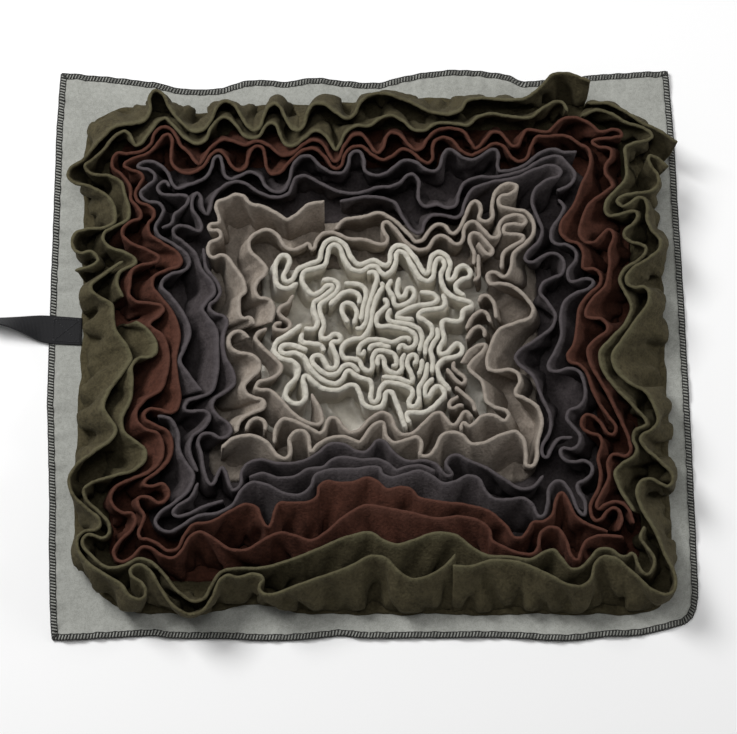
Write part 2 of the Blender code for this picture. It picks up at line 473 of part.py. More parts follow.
FOLDS["taupe_hump_right"] = (
    (92, -6.5), (94.5, -2.5), (98.5, 3), (103, 6), (107.7, 4.7), (110, 0.7), (109.3, -4),
)
FOLDS["taupe_tongue_right"] = (
    (99.8, 67.4), (101.3, 74), (99.5, 81), (97, 87.5), (95.8, 93), (97, 98), (100.8, 99.8),
    (105.5, 97.5), (110, 92), (115, 86.5), (118.7, 81.5), (116.6, 77), (112, 78.6),
    (107.5, 83.5), (103.5, 88.5),
)
FOLDS["taupe_stem_right"] = (
    (105.8, 77.5), (105.3, 72), (105, 66.5), (106, 61), (104.5, 54.5), (100, 51),
)
FOLDS["pale_outer_top"] = (
    (-68, 49.5), (-73, 46.5), (-79, 44.3), (-85, 46), (-88.3, 51.3), (-89, 60), (-88.2, 68),
    (-86, 74), (-81, 77), (-76.5, 74.5), (-75, 69), (-78, 63.5), (-81, 57), (-80, 52),
    (-76.5, 50), (-72.5, 52.8), (-69.5, 58.5), (-66.5, 63.5), (-61, 66.5), (-54, 68.5),
    (-48, 71), (-45.3, 77), (-44.5, 84), (-41.5, 89.5), (-36, 92.5), (-30, 92.5), (-25, 89.5),
    (-21, 84), (-18, 77), (-14, 70.5), (-9, 67.3), (-4, 68.8), (1, 71.5), (6, 71.2), (11, 68),
    (15.3, 66.2), (18.8, 68.8), (19.8, 75), (21, 81), (24.7, 86), (31, 86.8), (37, 83),
    (42, 76.7), (46, 69.7), (50, 62.7), (54, 58.2), (57.4, 61), (58.2, 68), (60, 75.3),
    (64.5, 79.5), (70, 79), (75, 74.5), (77.5, 68), (76.4, 61), (75, 55.5), (77.8, 52.2),
    (81.2, 54.5), (82.4, 60), (85.5, 64.3), (91, 66), (95.7, 62.5), (96.8, 57), (93, 53.3),
    (87.2, 51.6), (82.8, 47.2), (82.8, 42.5), (86.5, 38.6), (91, 36),
)
FOLDS["pale_second"] = (
    (-62, 4.5), (-57, 4), (-52.5, 4.5), (-49.3, 7.5), (-48.3, 12), (-50.5, 19), (-52.7, 26),
    (-50, 31), (-43.5, 34.3), (-37, 38.3), (-33.6, 42.5), (-35, 46), (-39.5, 44), (-45, 39.8),
    (-51, 37), (-56, 39.3), (-59.5, 45), (-62, 51), (-63.5, 57), (-60, 61.3), (-54, 63),
    (-47, 64.2), (-41.3, 67.8), (-39.7, 73), (-39.2, 80), (-37, 85.5), (-33, 87.7),
    (-29, 85.7), (-25.8, 79.5), (-23, 72.5), (-19.3, 66), (-14, 62), (-8.5, 61), (-3.5, 63.3),
    (1.5, 66.3), (6.5, 65.8), (10, 61.5), (14.5, 57.5), (19, 59.5), (23, 64), (25.6, 70),
    (26, 77), (28.5, 81.3), (33, 80.7), (37.5, 75.5), (42, 68.3), (46.5, 61.5), (51, 55.5),
    (55.5, 52), (60, 54.5), (61.8, 61), (62.3, 68), (65, 73), (69, 74), (72.3, 69.5),
    (71, 63.3), (68.7, 58), (68.5, 52), (70.7, 47), (74.3, 42.4), (78, 37.8), (82.6, 34),
    (88, 32.2), (94, 31.5), (97.5, 28.3), (95.3, 25), (90.5, 23.6), (88.3, 19), (87.6, 13.3),
    (83, 10.7), (77, 12.2), (71, 12.2), (67.8, 8), (69.8, 1), (70.3, -6), (68.5, -11.5),
    (66, -16.3), (67, -20.8), (71.5, -21), (75.5, -18.8), (78.8, -14.3), (83.3, -10.8),
    (87.6, -12.8), (88.4, -17.8), (85.5, -22.3), (80, -23.8), (74.3, -24.2), (69, -26.7),
    (65.3, -31), (64, -36.4), (65.5, -41), (69.8, -46.3), (74, -52), (76.5, -57),
)
FOLDS["pale_outer_low"] = (
    (-64.5, 8.5), (-69.5, 5.5), (-74, 1.5), (-80.4, -2.5), (-86.2, -6.8), (-89.6, -12),
    (-88.9, -18), (-85.4, -23.1), (-79.7, -26), (-73.2, -27.6), (-68.3, -30), (-66, -35),
    (-66.3, -40), (-69.5, -44.5), (-73.5, -49.5), (-77, -54.5), (-78.8, -59.5), (-77, -64.5),
    (-73.2, -68), (-68, -69.8), (-62.8, -68.3), (-59.5, -64), (-58.8, -58), (-60, -52),
    (-61.5, -46.5), (-60.2, -42.3), (-56.5, -44.3), (-52.3, -49.1), (-47.3, -52.9),
    (-40.1, -55.8), (-32.9, -56.8), (-25.7, -55.4), (-20, -52.4), (-14.9, -51), (-10.8, -53.8),
    (-8.8, -58.8), (-7.3, -64.8), (-4.2, -70.2), (0.5, -73), (5.7, -73.4), (10.9, -71.5),
    (14.3, -67.3), (14.9, -61.8), (17, -57.7), (20.8, -57.7), (23.8, -62.2), (26, -67.7),
    (28.3, -73.9), (30.4, -80.2), (32.6, -86.2), (35, -92),
)
FOLDS["pale_second_low"] = (
    (-58, -17.2), (-65.3, -13.7), (-71, -11.8), (-78.2, -11.8), (-83.2, -13.8), (-84.2, -18),
    (-80.5, -20.5), (-74.8, -20), (-68.6, -19.8), (-63.1, -22), (-58.8, -27.3), (-55.6, -33.4),
    (-50.9, -39.6), (-45.1, -44.8), (-39.4, -48.2), (-33.6, -49.8), (-28.6, -49), (-24.5, -45),
    (-22.4, -39.8), (-19.3, -36.6), (-15.7, -36.8), (-12.1, -40), (-7.8, -43), (-2, -43.8),
    (1.6, -46.2), (3.2, -50.6), (2.1, -56.6), (1.5, -62), (3.2, -66.6), (6.5, -67),
    (8.6, -63.5), (9.6, -58.5), (11.2, -53.4), (15.3, -49.3), (20, -48.1), (24.8, -50),
    (29.8, -51.8), (35.1, -52.6), (39.6, -54.2), (41.2, -58.5), (39, -63.8), (37.5, -68.2),
    (39.9, -71.8), (44.2, -71.2), (47.2, -66.9), (48.4, -60.6), (48, -54.4), (49.7, -48.1),
    (53.6, -41.9), (54.9, -35.6), (54.6, -29.4),
)
FOLDS["pale_low_right"] = (
    (61, -44.8), (57, -47), (53.8, -50.5), (52.7, -55.5), (53.2, -61), (55.8, -61.5),
    (58, -57.5), (61, -54), (64.8, -52.2), (68.6, -53.6), (71, -57.8), (70.6, -62.5),
    (66.3, -66.8), (60, -71.6), (53.2, -76.4), (46.6, -78.4), (40.5, -77.5), (35.5, -78.3),
    (35, -83), (37.5, -88),
)
FOLDS["pale_centre_left"] = (
    (-44.5, 52), (-38.5, 52.8), (-33, 51.5), (-29.2, 47.8), (-28.7, 43), (-31.8, 37.9),
    (-36, 34), (-40.2, 31), (-44.8, 28.8), (-47.3, 25), (-45.9, 18.5), (-43.8, 12.5),
    (-42.9, 7), (-44.4, 2), (-45.6, -2.3), (-43.5, -5.6), (-39.6, -5.8), (-36.5, -3.2),
    (-32.2, -1.2), (-28, -2.5), (-26.6, -6.5), (-29.5, -9), (-33.5, -8.7), (-35.8, -11),
    (-33.8, -15), (-31.2, -19.2), (-30, -24.5), (-29.6, -29.8), (-31.8, -34.8), (-36.3, -35.8),
    (-39.8, -33), (-41.3, -28.5), (-44, -24), (-48.2, -22), (-52.5, -23), (-54, -27),
    (-50.8, -32), (-45.8, -36.8), (-40.1, -40), (-34.3, -41.2), (-29.3, -39.3), (-25.8, -34.6),
    (-21.4, -31.6), (-16.4, -32), (-12.6, -35.4), (-8.5, -38.5),
)
FOLDS["pale_left_fold"] = (
    (-62.5, 0.3), (-64.3, -3.5), (-63, -7.7), (-58.5, -9.6), (-53, -10.4), (-47.6, -12),
    (-43.2, -14.4), (-42, -18.3),
)
FOLDS["pale_top_arch"] = (
    (-38.5, 27.5), (-37.3, 32), (-32.5, 36.5), (-27.4, 41), (-22.1, 42.5), (-17, 41.8),
    (-12.4, 39.6), (-8.8, 36.3), (-7.8, 31.3), (-9.8, 27.8),
)
FOLDS["pale_top_wave"] = (
    (-23.5, 48.5), (-16, 48.3), (-9.5, 47.6), (-4.9, 44.4), (-3.3, 39.4), (-3.7, 34),
    (-5.5, 28.5), (-5.3, 22.5), (-6.6, 16.5), (-8, 11.5),
)
FOLDS["pale_eye"] = (
    (-19.5, 9.5), (-22.2, 14.5), (-25, 20.2), (-25.6, 25.3), (-22.9, 28.8), (-18.3, 29),
    (-13.8, 26.2), (-11, 21.6), (-10.6, 16.4), (-13, 11.6), (-14.8, 8),
)
FOLDS["pale_peak"] = (
    (-1.5, 58.5), (2.5, 60.8), (6.2, 59.3), (7.6, 55), (6.6, 49.5), (3.8, 43.5), (1.3, 38),
    (-0.5, 32.5), (-1.4, 26), (-2.6, 19.8), (-3.6, 13.5), (-5, 7.5), (-9, 3.8), (-13, 4),
)
FOLDS["pale_long_fold"] = (
    (11.5, 50), (13.2, 45.3), (9.5, 40.8), (6.2, 36), (4.2, 30.5), (2.7, 24.5), (1.2, 18),
    (0.6, 11.5), (-0.6, 5), (-3.2, 0.3), (-4.8, -4.4), (-10.6, -6.6), (-16.4, -7),
    (-21.6, -9.2), (-25, -14), (-26, -20), (-23.6, -24.6), (-18.5, -26), (-13.5, -26.3),
    (-9.4, -28.6), (-7.9, -33), (-5.5, -36.8), (-1, -38.3), (2.6, -36.6), (3.8, -32),
    (3.4, -26.5), (4.2, -21), (7, -17.6), (11.4, -16.8), (16.5, -18), (21.8, -19.6),
    (25, -23.4), (25.7, -28.6), (24.3, -33.2), (20, -34),
)
FOLDS["pale_inner_wave"] = (
    (21.6, 53), (18.5, 48.5), (17.8, 43.5), (21, 39.5), (23.8, 35.8), (23.6, 30.8), (25.7, 27),
    (30, 26.8), (35, 29), (39.6, 31.7), (42.8, 36), (43, 40.8), (40.6, 44), (36.8, 44),
    (34.8, 40.6), (33, 36.5), (29, 34.6), (27, 38), (26.3, 43), (27.3, 48.5), (28.6, 54.5),
)
FOLDS["pale_hook"] = (
    (13.5, 33.5), (17, 30.5), (16.6, 25.5), (12.2, 22.3), (8, 18.8), (6.3, 13.8), (6.6, 8.8),
    (10.2, 6), (17, 6.4), (24.5, 5.6), (32, 3.8), (39.4, 1.8), (44, -2.2), (45.8, -7.4),
    (43.8, -12.3), (39, -15.4), (34.8, -14.8), (31.6, -12.6), (28.6, -14.6), (26.6, -18.4),
)
FOLDS["pale_hook_second"] = (
    (20.5, 23.5), (17.9, 18.2), (18.2, 13.2), (22.6, 10.4), (28, 9.7), (33, 9.2), (38.5, 8.2),
    (43.6, 6.2), (48.6, 2.6), (51, -2.5), (50, -8), (48.8, -13.4), (48.4, -19),
)
FOLDS["pale_fold_right"] = (
    (48.5, 40.3), (54.7, 39.6), (60.8, 38.2), (64.6, 35.4), (65, 31.6), (61.2, 29.2),
    (54.7, 28), (47.5, 26.8), (41.2, 24.6), (34.5, 21.6), (28.5, 18), (26.6, 15.2),
    (30.5, 13.7), (36, 13.6), (42.4, 12.6),
)
FOLDS["pale_face_right"] = (
    (70, 38), (72.3, 32), (71.5, 26.3), (66.5, 23.9), (60.5, 23.2), (54.2, 22), (48.9, 20.2),
    (46.7, 16.6), (49.4, 13.6), (54, 11.4), (58.3, 8), (60.9, 3.4), (59.6, -2), (56, -7),
    (53.2, -12.4), (52.6, -18), (53.4, -23.6),
)
FOLDS["pale_band_right"] = (
    (64, 5), (65, -0.5), (63.6, -6), (60, -10.2), (57.3, -15.4), (57.6, -21), (59.6, -27),
    (59.8, -33.5), (58.8, -39.8),
)
FOLDS["pale_low_wave"] = (
    (-1, -16), (-5.2, -21), (-8.6, -18.6), (-6.8, -13.6), (-3, -9.8), (2, -7.6), (9.2, -8),
    (16.6, -9.9), (22.3, -10.8), (27, -8.6), (32.4, -6.4), (38, -6.4), (39.4, -9.4),
)
FOLDS["pale_low_hook"] = (
    (1.5, -20), (0.8, -15.6), (4.5, -12.6), (10, -12), (16, -13.4), (20.6, -14.2),
)
FOLDS["pale_low_crook"] = (
    (8, -33), (7.2, -27.6), (9.5, -23.8), (13.4, -24.8), (14.6, -29.5), (16, -34.2),
    (19.8, -38), (26, -39.8), (30.6, -37), (31.6, -31), (31.3, -25), (34, -21.2),
)
FOLDS["pale_low_loop"] = (
    (12, -43.5), (18.5, -43), (25, -43.8), (31, -45.6), (36, -48), (40.4, -47.8), (41.6, -44),
    (39.6, -38.6), (36.9, -33), (36.6, -27), (39.2, -23), (43.2, -22), (45.6, -25.6),
    (44, -29.6), (41, -31.6),
)
FOLDS["pale_low_strand"] = (
    (49, -25), (50, -30.5), (49.6, -36), (47, -41.5),
)



# --- curves ------------------------------------------------------------------------------
def spline(rows, per_row):
    """Smooth line through the rows, per_row points from each row to the next."""
    rows = np.array(rows, float)
    first = 2.0 * rows[0] - rows[1]
    last = 2.0 * rows[-1] - rows[-2]
    ends = np.vstack([first, rows, last])
    share = np.linspace(0.0, 1.0, per_row, endpoint=False)[:, None]
    pieces = []
    for i in range(1, len(ends) - 2):
        a, b, c, d = ends[i - 1], ends[i], ends[i + 1], ends[i + 2]
        line = 2.0 * b + (c - a) * share
        line = line + (2.0 * a - 5.0 * b + 4.0 * c - d) * share ** 2
        line = line + (3.0 * b - a - 3.0 * c + d) * share ** 3
        pieces.append(0.5 * line)
    pieces.append(rows[-1:])
    return np.vstack(pieces)


def arc_lengths(line):
    """Length along the line up to each of its points."""
    return np.concatenate([[0.0], np.cumsum(np.hypot(*np.diff(line, axis=0).T))])


def evenly(line, step):
    """The same line with points about one step apart."""
    arc = arc_lengths(line)
    count = max(2, int(round(arc[-1] / step)))
    marks = np.linspace(0.0, arc[-1], count + 1)
    return np.c_[np.interp(marks, arc, line[:, 0]), np.interp(marks, arc, line[:, 1])]


def mirrored_ends(values, reach):
    """Values carried on past both ends by reflection about the end values."""
    short = max(0, reach - len(values) + 1)
    inner_head = values[1:reach + 1]
    inner_tail = values[-reach - 1:-1]
    if short:
        inner_head = np.concatenate([values[1:], np.repeat(values[-1:], short, axis=0)])
        inner_tail = np.concatenate([np.repeat(values[:1], short, axis=0), values[:-1]])
    head = 2.0 * values[0] - inner_head[::-1]
    tail = 2.0 * values[-1] - inner_tail[::-1]
    return np.concatenate([head, values, tail])


def smoothed(values, width, step):
    """Bell-weighted average along a line whose values lie one step apart."""
    reach = int(3.0 * width / step) + 1
    weights = np.exp(-0.5 * (np.arange(-reach, reach + 1) * step / width) ** 2)
    weights = weights / weights.sum()
    values = np.asarray(values, float)
    longer = mirrored_ends(values, reach)
    if values.ndim == 1:
        return np.convolve(longer, weights, "valid")
    return np.c_[tuple(np.convolve(longer[:, j], weights, "valid") for j in range(2))]


def section_marks(line):
    """Where the sections of a strip go: close together in bends, far apart between."""
    steps = np.diff(line, axis=0)
    heading = np.unwrap(np.arctan2(steps[:, 1], steps[:, 0]))
    turn = np.abs(np.diff(heading))
    turn = np.concatenate([[turn[0]], turn, [turn[-1]]])
    turn = smoothed(turn, 1.6, 1.0)
    runs = np.concatenate([[0.0], np.diff(arc_lengths(line))])
    bend_radius = runs / np.maximum(turn, 1e-6)
    widest = np.where(bend_radius < TIGHT_BEND, TIGHT_SECTION_TURN, SECTION_TURN)
    demand = turn / widest + runs / SECTION_RUN
    total = np.concatenate([[0.0], np.cumsum(demand[1:])])
    count = max(2, int(math.ceil(total[-1])))
    marks = np.linspace(0.0, total[-1], count + 1)
    return np.interp(marks, total, np.arange(len(line)))


def at_marks(line, marks):
    """Points of a line at fractional indices."""
    low = np.floor(marks).astype(int).clip(0, len(line) - 2)
    share = (marks - low)[:, None]
    return line[low] * (1.0 - share) + line[low + 1] * share


# --- seam lines --------------------------------------------------------------------------
def seam_ring(inset):
    """Closed rounded rectangle, inset from the outermost seam, and its length."""
    left, right = SEAM_LEFT + inset, SEAM_RIGHT - inset
    near, far = SEAM_NEAR + inset, SEAM_FAR - inset
    radius = max(SEAM_CORNER_RADIUS - SEAM_CORNER_SHRINK * inset, SEAM_CORNER_LEAST)
    far_left = max(SEAM_FAR_LEFT_RADIUS - inset, radius)
    near_left = max(SEAM_NEAR_LEFT_RADIUS - inset, radius)
    corners = (
        (right - radius, far - radius, radius, 0),
        (left + far_left, far - far_left, far_left, 90),
        (left + near_left, near + near_left, near_left, 180),
        (right - radius, near + radius, radius, 270),
    )
    points = []
    for x, y, reach, start in corners:
        count = max(3, int(reach * math.pi / 2.0 / SEAM_STEP))
        for k in range(count + 1):
            angle = math.radians(start + 90.0 * k / count)
            points.append((x + reach * math.cos(angle), y + reach * math.sin(angle)))
    points.append(points[0])
    ring = np.array(points)
    arc = arc_lengths(ring)
    marks = np.linspace(0.0, arc[-1], int(arc[-1] / SEAM_STEP), endpoint=False)
    even = np.c_[np.interp(marks, arc, ring[:, 0]), np.interp(marks, arc, ring[:, 1])]
    return even, arc[-1]


def on_ring(ring, share):
    """Points of a closed ring at shares of its length."""
    index = share * len(ring)
    low = np.floor(index).astype(int)
    part = (index - low)[:, None]
    return ring[low % len(ring)] * (1.0 - part) + ring[(low + 1) % len(ring)] * part


def beyond_seam(points):
    """How far points lie outside the outermost seam line, negative inside it."""
    middle = np.array([(SEAM_LEFT + SEAM_RIGHT) / 2.0, (SEAM_NEAR + SEAM_FAR) / 2.0])
    half = np.array([(SEAM_RIGHT - SEAM_LEFT) / 2.0, (SEAM_FAR - SEAM_NEAR) / 2.0])
    is_left = points[:, 0] < middle[0]
    left_radius = np.where(points[:, 1] < middle[1], SEAM_NEAR_LEFT_RADIUS, SEAM_FAR_LEFT_RADIUS)
    radius = np.where(is_left, left_radius, SEAM_CORNER_RADIUS)
    q = np.abs(points - middle) - (half - radius[:, None])
    return np.hypot(*np.maximum(q, 0.0).T) + np.minimum(q.max(axis=1), 0.0) - radius


def drawn_to_seam(foot):
    """Bring the parts of a foot that overhang the outermost seam back near it."""
    probe = 0.05
    for _ in range(4):
        out = beyond_seam(foot)
        slope_x = (beyond_seam(foot + [probe, 0.0]) - out) / probe
        slope_y = (beyond_seam(foot + [0.0, probe]) - out) / probe
        soft = FOOT_OVERHANG * np.tanh(np.maximum(out, 0.0) / FOOT_OVERHANG / 2.0)
        wanted = np.where(out > 0.0, soft, out)
        foot = foot - np.c_[slope_x, slope_y] * (out - wanted)[:, None]
    return foot


def steady_progress(progress):
    """Progress along the seam made to run one way, never slower than the least share."""
    way = 1.0 if progress[-1] >= progress[0] else -1.0
    least = FOOT_LEAST_PROGRESS * RIM_STEP
    gains = np.maximum(np.diff(progress) * way, least)
    wanted = abs(progress[-1] - progress[0])
    bare = least * len(gains)
    if wanted > bare * 1.05:
        spare = gains - least
        gains = least + spare * (wanted - bare) / spare.sum()
    steady = progress[0] + way * np.concatenate([[0.0], np.cumsum(gains)])
    if wanted <= bare * 1.05:
        steady = steady - (steady.mean() - progress.mean())
    return steady


def foot_on_seam(strip, rim, rows_in):
    """Foot of a strip gathered onto its seam row, keeping part of the rim's folds."""
    ring, length = seam_ring(rows_in * ROW_PITCH)
    apart = ((rim[:, None, :] - ring[None, :, :]) ** 2).sum(axis=2)
    nearest = apart.argmin(axis=1) * length / len(ring)
    steps = np.diff(nearest)
    steps = (steps + length / 2.0) % length - length / 2.0
    progress = np.concatenate([[nearest[0]], nearest[0] + np.cumsum(steps)])
    progress = steady_progress(smoothed(progress, FOOT_SMOOTHING, RIM_STEP))
    share = (progress % length) / length
    foot = on_ring(ring, share)
    for name, start, towards in SEAM_SLIDES:
        if name == strip:
            other, _ = seam_ring(towards * ROW_PITCH)
            along = np.linspace(0.0, 1.0, len(foot))
            slide = np.clip((along - start) / (1.0 - start), 0.0, 1.0)[:, None]
            slide = slide * slide * (3.0 - 2.0 * slide)
            foot = foot * (1.0 - slide) + on_ring(other, share) * slide
    waves = rim - smoothed(rim, FOOT_WAVE_SMOOTHING, RIM_STEP)
    foot = foot + FOOT_WAVE_SHARE * waves
    if rows_in < 0.5:
        foot = drawn_to_seam(foot)
    return foot


def foot_upright(rim):
    """Foot of a strip that stands nearly upright in the packed middle of the mat."""
    x, y = rim.T
    spread = 0.05
    lean_x = spread * (x - (SEAM_LEFT + SEAM_RIGHT) / 2.0)
    lean_y = spread * (y - (SEAM_NEAR + SEAM_FAR) / 2.0)
    lean_x = lean_x + 2.0 * np.sin(y / 17.0 + 0.5) + 1.5 * np.cos(x / 23.0)
    lean_y = lean_y + 2.0 * np.cos(x / 19.0 + 0.8) - 1.5 * np.sin(y / 21.0)
    return rim + np.c_[lean_x, lean_y]


# --- easing ------------------------------------------------------------------------------
class Sections:
    """All sections of all strips: rim and foot points, and which strip they belong to."""

    def __init__(self, rims, feet, thicknesses):
        self.rim = np.vstack(rims)
        self.foot = np.vstack(feet)
        counts = [len(rim) for rim in rims]
        self.strip = np.repeat(np.arange(len(rims)), counts)
        self.thick = np.repeat(np.array(thicknesses), counts)
        self.runs = np.nonzero(self.strip[1:] == self.strip[:-1])[0]

    def at_level(self, level):
        """Plan of every section at a share of the height."""
        return (1.0 - level) * self.foot + level * self.rim

    def arc_at(self, plan):
        """Length along the strips in one plan."""
        steps = np.hypot(*np.diff(plan, axis=0).T)
        steps[self.strip[1:] != self.strip[:-1]] = 0.0
        return np.concatenate([[0.0], np.cumsum(steps)])

    def close_runs(self, plan):
        """Pairs of runs between sections that could touch in one plan."""
        start, end = plan[self.runs], plan[self.runs + 1]
        middle = (start + end) / 2.0
        length = np.hypot(*(end - start).T)
        firsts, seconds = [], []
        for i, run in enumerate(self.runs):
            apart = np.hypot(*(middle - middle[i]).T)
            near = np.nonzero(apart < (length[i] + length) / 2.0 + EASE_REACH)[0]
            same = self.strip[self.runs[near]] == self.strip[run]
            joined = np.abs(self.runs[near] - run) <= 1
            near = near[~(same & joined)]
            firsts.append(np.full(len(near), i))
            seconds.append(near)
        return np.concatenate(firsts), np.concatenate(seconds)


def push_apart(sections, level, firsts, seconds, rim_shift, foot_shift, weight):
    """Add the shifts that part too-close runs at one level; return how many there are."""
    plan = sections.at_level(level)
    arc = sections.arc_at(plan)
    runs = sections.runs
    run_a, run_b = runs[firsts], runs[seconds]
    own = sections.strip[run_a] == sections.strip[run_b]
    need = (sections.thick[run_a] + sections.thick[run_b]) / 2.0
    need = need + np.where(own, BEND_CLEARANCE, FOLD_CLEARANCE)
    start, along = plan[run_b], plan[run_b + 1] - plan[run_b]
    square = np.maximum((along * along).sum(axis=1), 1e-9)
    blend = level * level + (1.0 - level) ** 2
    found = 0
    for share in (0.0, 0.5, 1.0):
        point = plan[run_a] * (1.0 - share) + plan[run_a + 1] * share
        place = (((point - start) * along).sum(axis=1) / square).clip(0.0, 1.0)
        gap = point - start - along * place[:, None]
        apart = np.hypot(*gap.T)
        here = arc[run_a] * (1.0 - share) + arc[run_a + 1] * share
        there = arc[run_b] * (1.0 - place) + arc[run_b + 1] * place
        turned_back = np.abs(here - there) > SAME_STRIP_ARC * need
        tight = (apart < need) & (~own | turned_back)
        if not tight.any():
            continue
        found += int(tight.sum())
        way = gap[tight] / np.maximum(apart[tight], 1e-6)[:, None]
        push = way * ((need - apart)[tight] * EASE_SHARE)[:, None]
        place = place[tight][:, None]
        parts = (
            (run_a[tight], push * (1.0 - share), 1.0 - share),
            (run_a[tight] + 1, push * share, share),
            (run_b[tight], -push * (1.0 - place), (1.0 - place)[:, 0]),
            (run_b[tight] + 1, -push * place, place[:, 0]),
        )
        for index, shift, part in parts:
            np.add.at(rim_shift, index, shift * level / blend)
            np.add.at(foot_shift, index, shift * (1.0 - level) / blend)
            np.add.at(weight, index, part)
    return found


def open_bends(sections, level, rim_shift, foot_shift, weight):
    """Add the shifts that open bends tighter than the fabric's thickness lets them be."""
    plan = sections.at_level(level)
    strip = sections.strip
    runs = plan[1:] - plan[:-1]
    length = np.maximum(np.hypot(*runs.T), 1e-6)
    joined = strip[1:] == strip[:-1]
    cross = runs[:-1, 0] * runs[1:, 1] - runs[:-1, 1] * runs[1:, 0]
    turn = np.arctan2(cross, (runs[:-1] * runs[1:]).sum(axis=1))
    turn = np.concatenate([[0.0], turn * (joined[1:] & joined[:-1]), [0.0]])
    mitre = np.tan(turn.clip(-STEEPEST_MITRE, STEEPEST_MITRE) / 2.0)
    need = sections.thick[1:] / 2.0 * np.abs(mitre[:-1] + mitre[1:]) + BEND_ROOM
    tight = np.nonzero(joined & (length < need))[0]
    if not len(tight):
        return 0
    push = runs[tight] / length[tight][:, None]
    push = push * ((need - length)[tight] * BEND_SHARE)[:, None]
    blend = level * level + (1.0 - level) ** 2
    for index, shift in ((tight, -push), (tight + 1, push)):
        np.add.at(rim_shift, index, shift * level / blend)
        np.add.at(foot_shift, index, shift * (1.0 - level) / blend)
        np.add.at(weight, index, 0.5)
    return len(tight)


def evened(shift, sections, share):
    """Share each shift a little with the neighbouring sections of the same strip."""
    strip = sections.strip
    inner = (strip[1:-1] == strip[:-2]) & (strip[1:-1] == strip[2:])
    average = 0.5 * (shift[:-2] + shift[2:])
    middle = shift[1:-1].copy()
    middle[inner] += share * (average[inner] - middle[inner])
    shift[1:-1] = middle


def ease(sections):
    """Shift rims and feet until no two folds are closer than their fabric allows."""
    rim_start, foot_start = sections.rim.copy(), sections.foot.copy()
    rim_total, foot_total = np.zeros_like(rim_start), np.zeros_like(foot_start)
    close = {}
    for turn in range(EASE_ROUNDS):
        if turn % EASE_RELIST == 0:
            for level in EASE_LEVELS:
                close[level] = sections.close_runs(sections.at_level(level))
        rim_shift, foot_shift = np.zeros_like(rim_start), np.zeros_like(foot_start)
        weight = np.zeros(len(rim_start))
        found = 0
        for level in EASE_LEVELS:
            firsts, seconds = close[level]
            found += push_apart(sections, level, firsts, seconds,
                                rim_shift, foot_shift, weight)
            found += open_bends(sections, level, rim_shift, foot_shift, weight)
        if found == 0:
            break
        scale = (1.0 / np.maximum(weight, 1.0) ** 0.7)[:, None]
        rim_total += rim_shift * scale
        foot_total += foot_shift * scale
        evened(rim_total, sections, 0.06)
        evened(foot_total, sections, 0.25)
        sections.rim = rim_start + rim_total
        sections.foot = foot_start + foot_total


# --- solids ------------------------------------------------------------------------------
def both_sides(line, thickness):
    """Points half a thickness to the left and right of a line, mitred at its bends."""
    steps = np.diff(line, axis=0)
    steps = steps / np.maximum(np.hypot(*steps.T), 1e-9)[:, None]
    sides = np.c_[-steps[:, 1], steps[:, 0]]
    before = np.vstack([sides[:1], sides])
    after = np.vstack([sides, sides[-1:]])
    mitre = before + after
    size = np.maximum((mitre * before).sum(axis=1), 1.2)[:, None]
    offset = mitre / size * thickness / 2.0
    return line + offset, line - offset


def rim_height(points):
    """Height of the rims over a place: a little lower and uneven towards the edge."""
    x, y = points.T
    out = np.clip(np.maximum(np.abs(x) / 290.0, np.abs(y) / 265.0), 0.0, 1.1)
    height = RIM_HEIGHT_MIDDLE + (RIM_HEIGHT_EDGE - RIM_HEIGHT_MIDDLE) * out ** 2
    return height + 1.3 * np.sin(x / 31.0 + 0.7) * np.cos(y / 27.0)


def new_object(name, vertices_mm, faces, finish, collection, materials):
    """Mesh object from points in millimetres."""
    mesh = bpy.data.meshes.new(name)
    vertices = [(x * MM, y * MM, z * MM) for x, y, z in vertices_mm]
    mesh.from_pydata(vertices, [], faces)
    mesh.update()
    mesh.materials.append(materials[finish])
    thing = bpy.data.objects.new(name, mesh)
    collection.objects.link(thing)
    return thing


def strip_faces(count):
    """Faces of a strip whose sections are foot left, foot right, rim left, rim right."""
    faces = [(0, 1, 3, 2)]
    for i in range(count - 1):
        a, b = 4 * i, 4 * i + 4
        faces.append((a, b + 2, b))
        faces.append((a, a + 2, b + 2))
        faces.append((a + 1, b + 1, b + 3))
        faces.append((a + 1, b + 3, a + 3))
        faces.append((a + 2, a + 3, b + 3, b + 2))
        faces.append((a, b, b + 1, a + 1))
    last = 4 * (count - 1)
    faces.append((last, last + 2, last + 3, last + 1))
    return faces


def make_strip(name, rim, foot, thickness, finish, collection, materials):
    """Wall of fleece standing on its foot and rising to its rim."""
    foot_left, foot_right = both_sides(foot, thickness)
    rim_left, rim_right = both_sides(rim, thickness)
    top = rim_height(rim)
    low = FELT_THICKNESS + SEAM_CLEARANCE
    vertices = []
    for i in range(len(rim)):
        vertices.append((*foot_left[i], low))
        vertices.append((*foot_right[i], low))
        vertices.append((*rim_left[i], top[i]))
        vertices.append((*rim_right[i], top[i]))
    faces = strip_faces(len(rim))
    return new_object(name, vertices, faces, finish, collection, materials)


def make_felt(collection, materials):
    """Flat sheet of felt with the waved outline."""
    rows = [row for side in FELT_OUTLINE.values() for row in side]
    count = len(rows)
    vertices = [(x, y, 0.0) for x, y in rows] + [(x, y, FELT_THICKNESS) for x, y in rows]
    faces = [tuple(range(count)), tuple(range(2 * count - 1, count - 1, -1))]
    for i in range(count):
        j = (i + 1) % count
        faces.append((i, i + count, j + count, j))
    return new_object("base_felt", vertices, faces, "grey_felt", collection, materials)


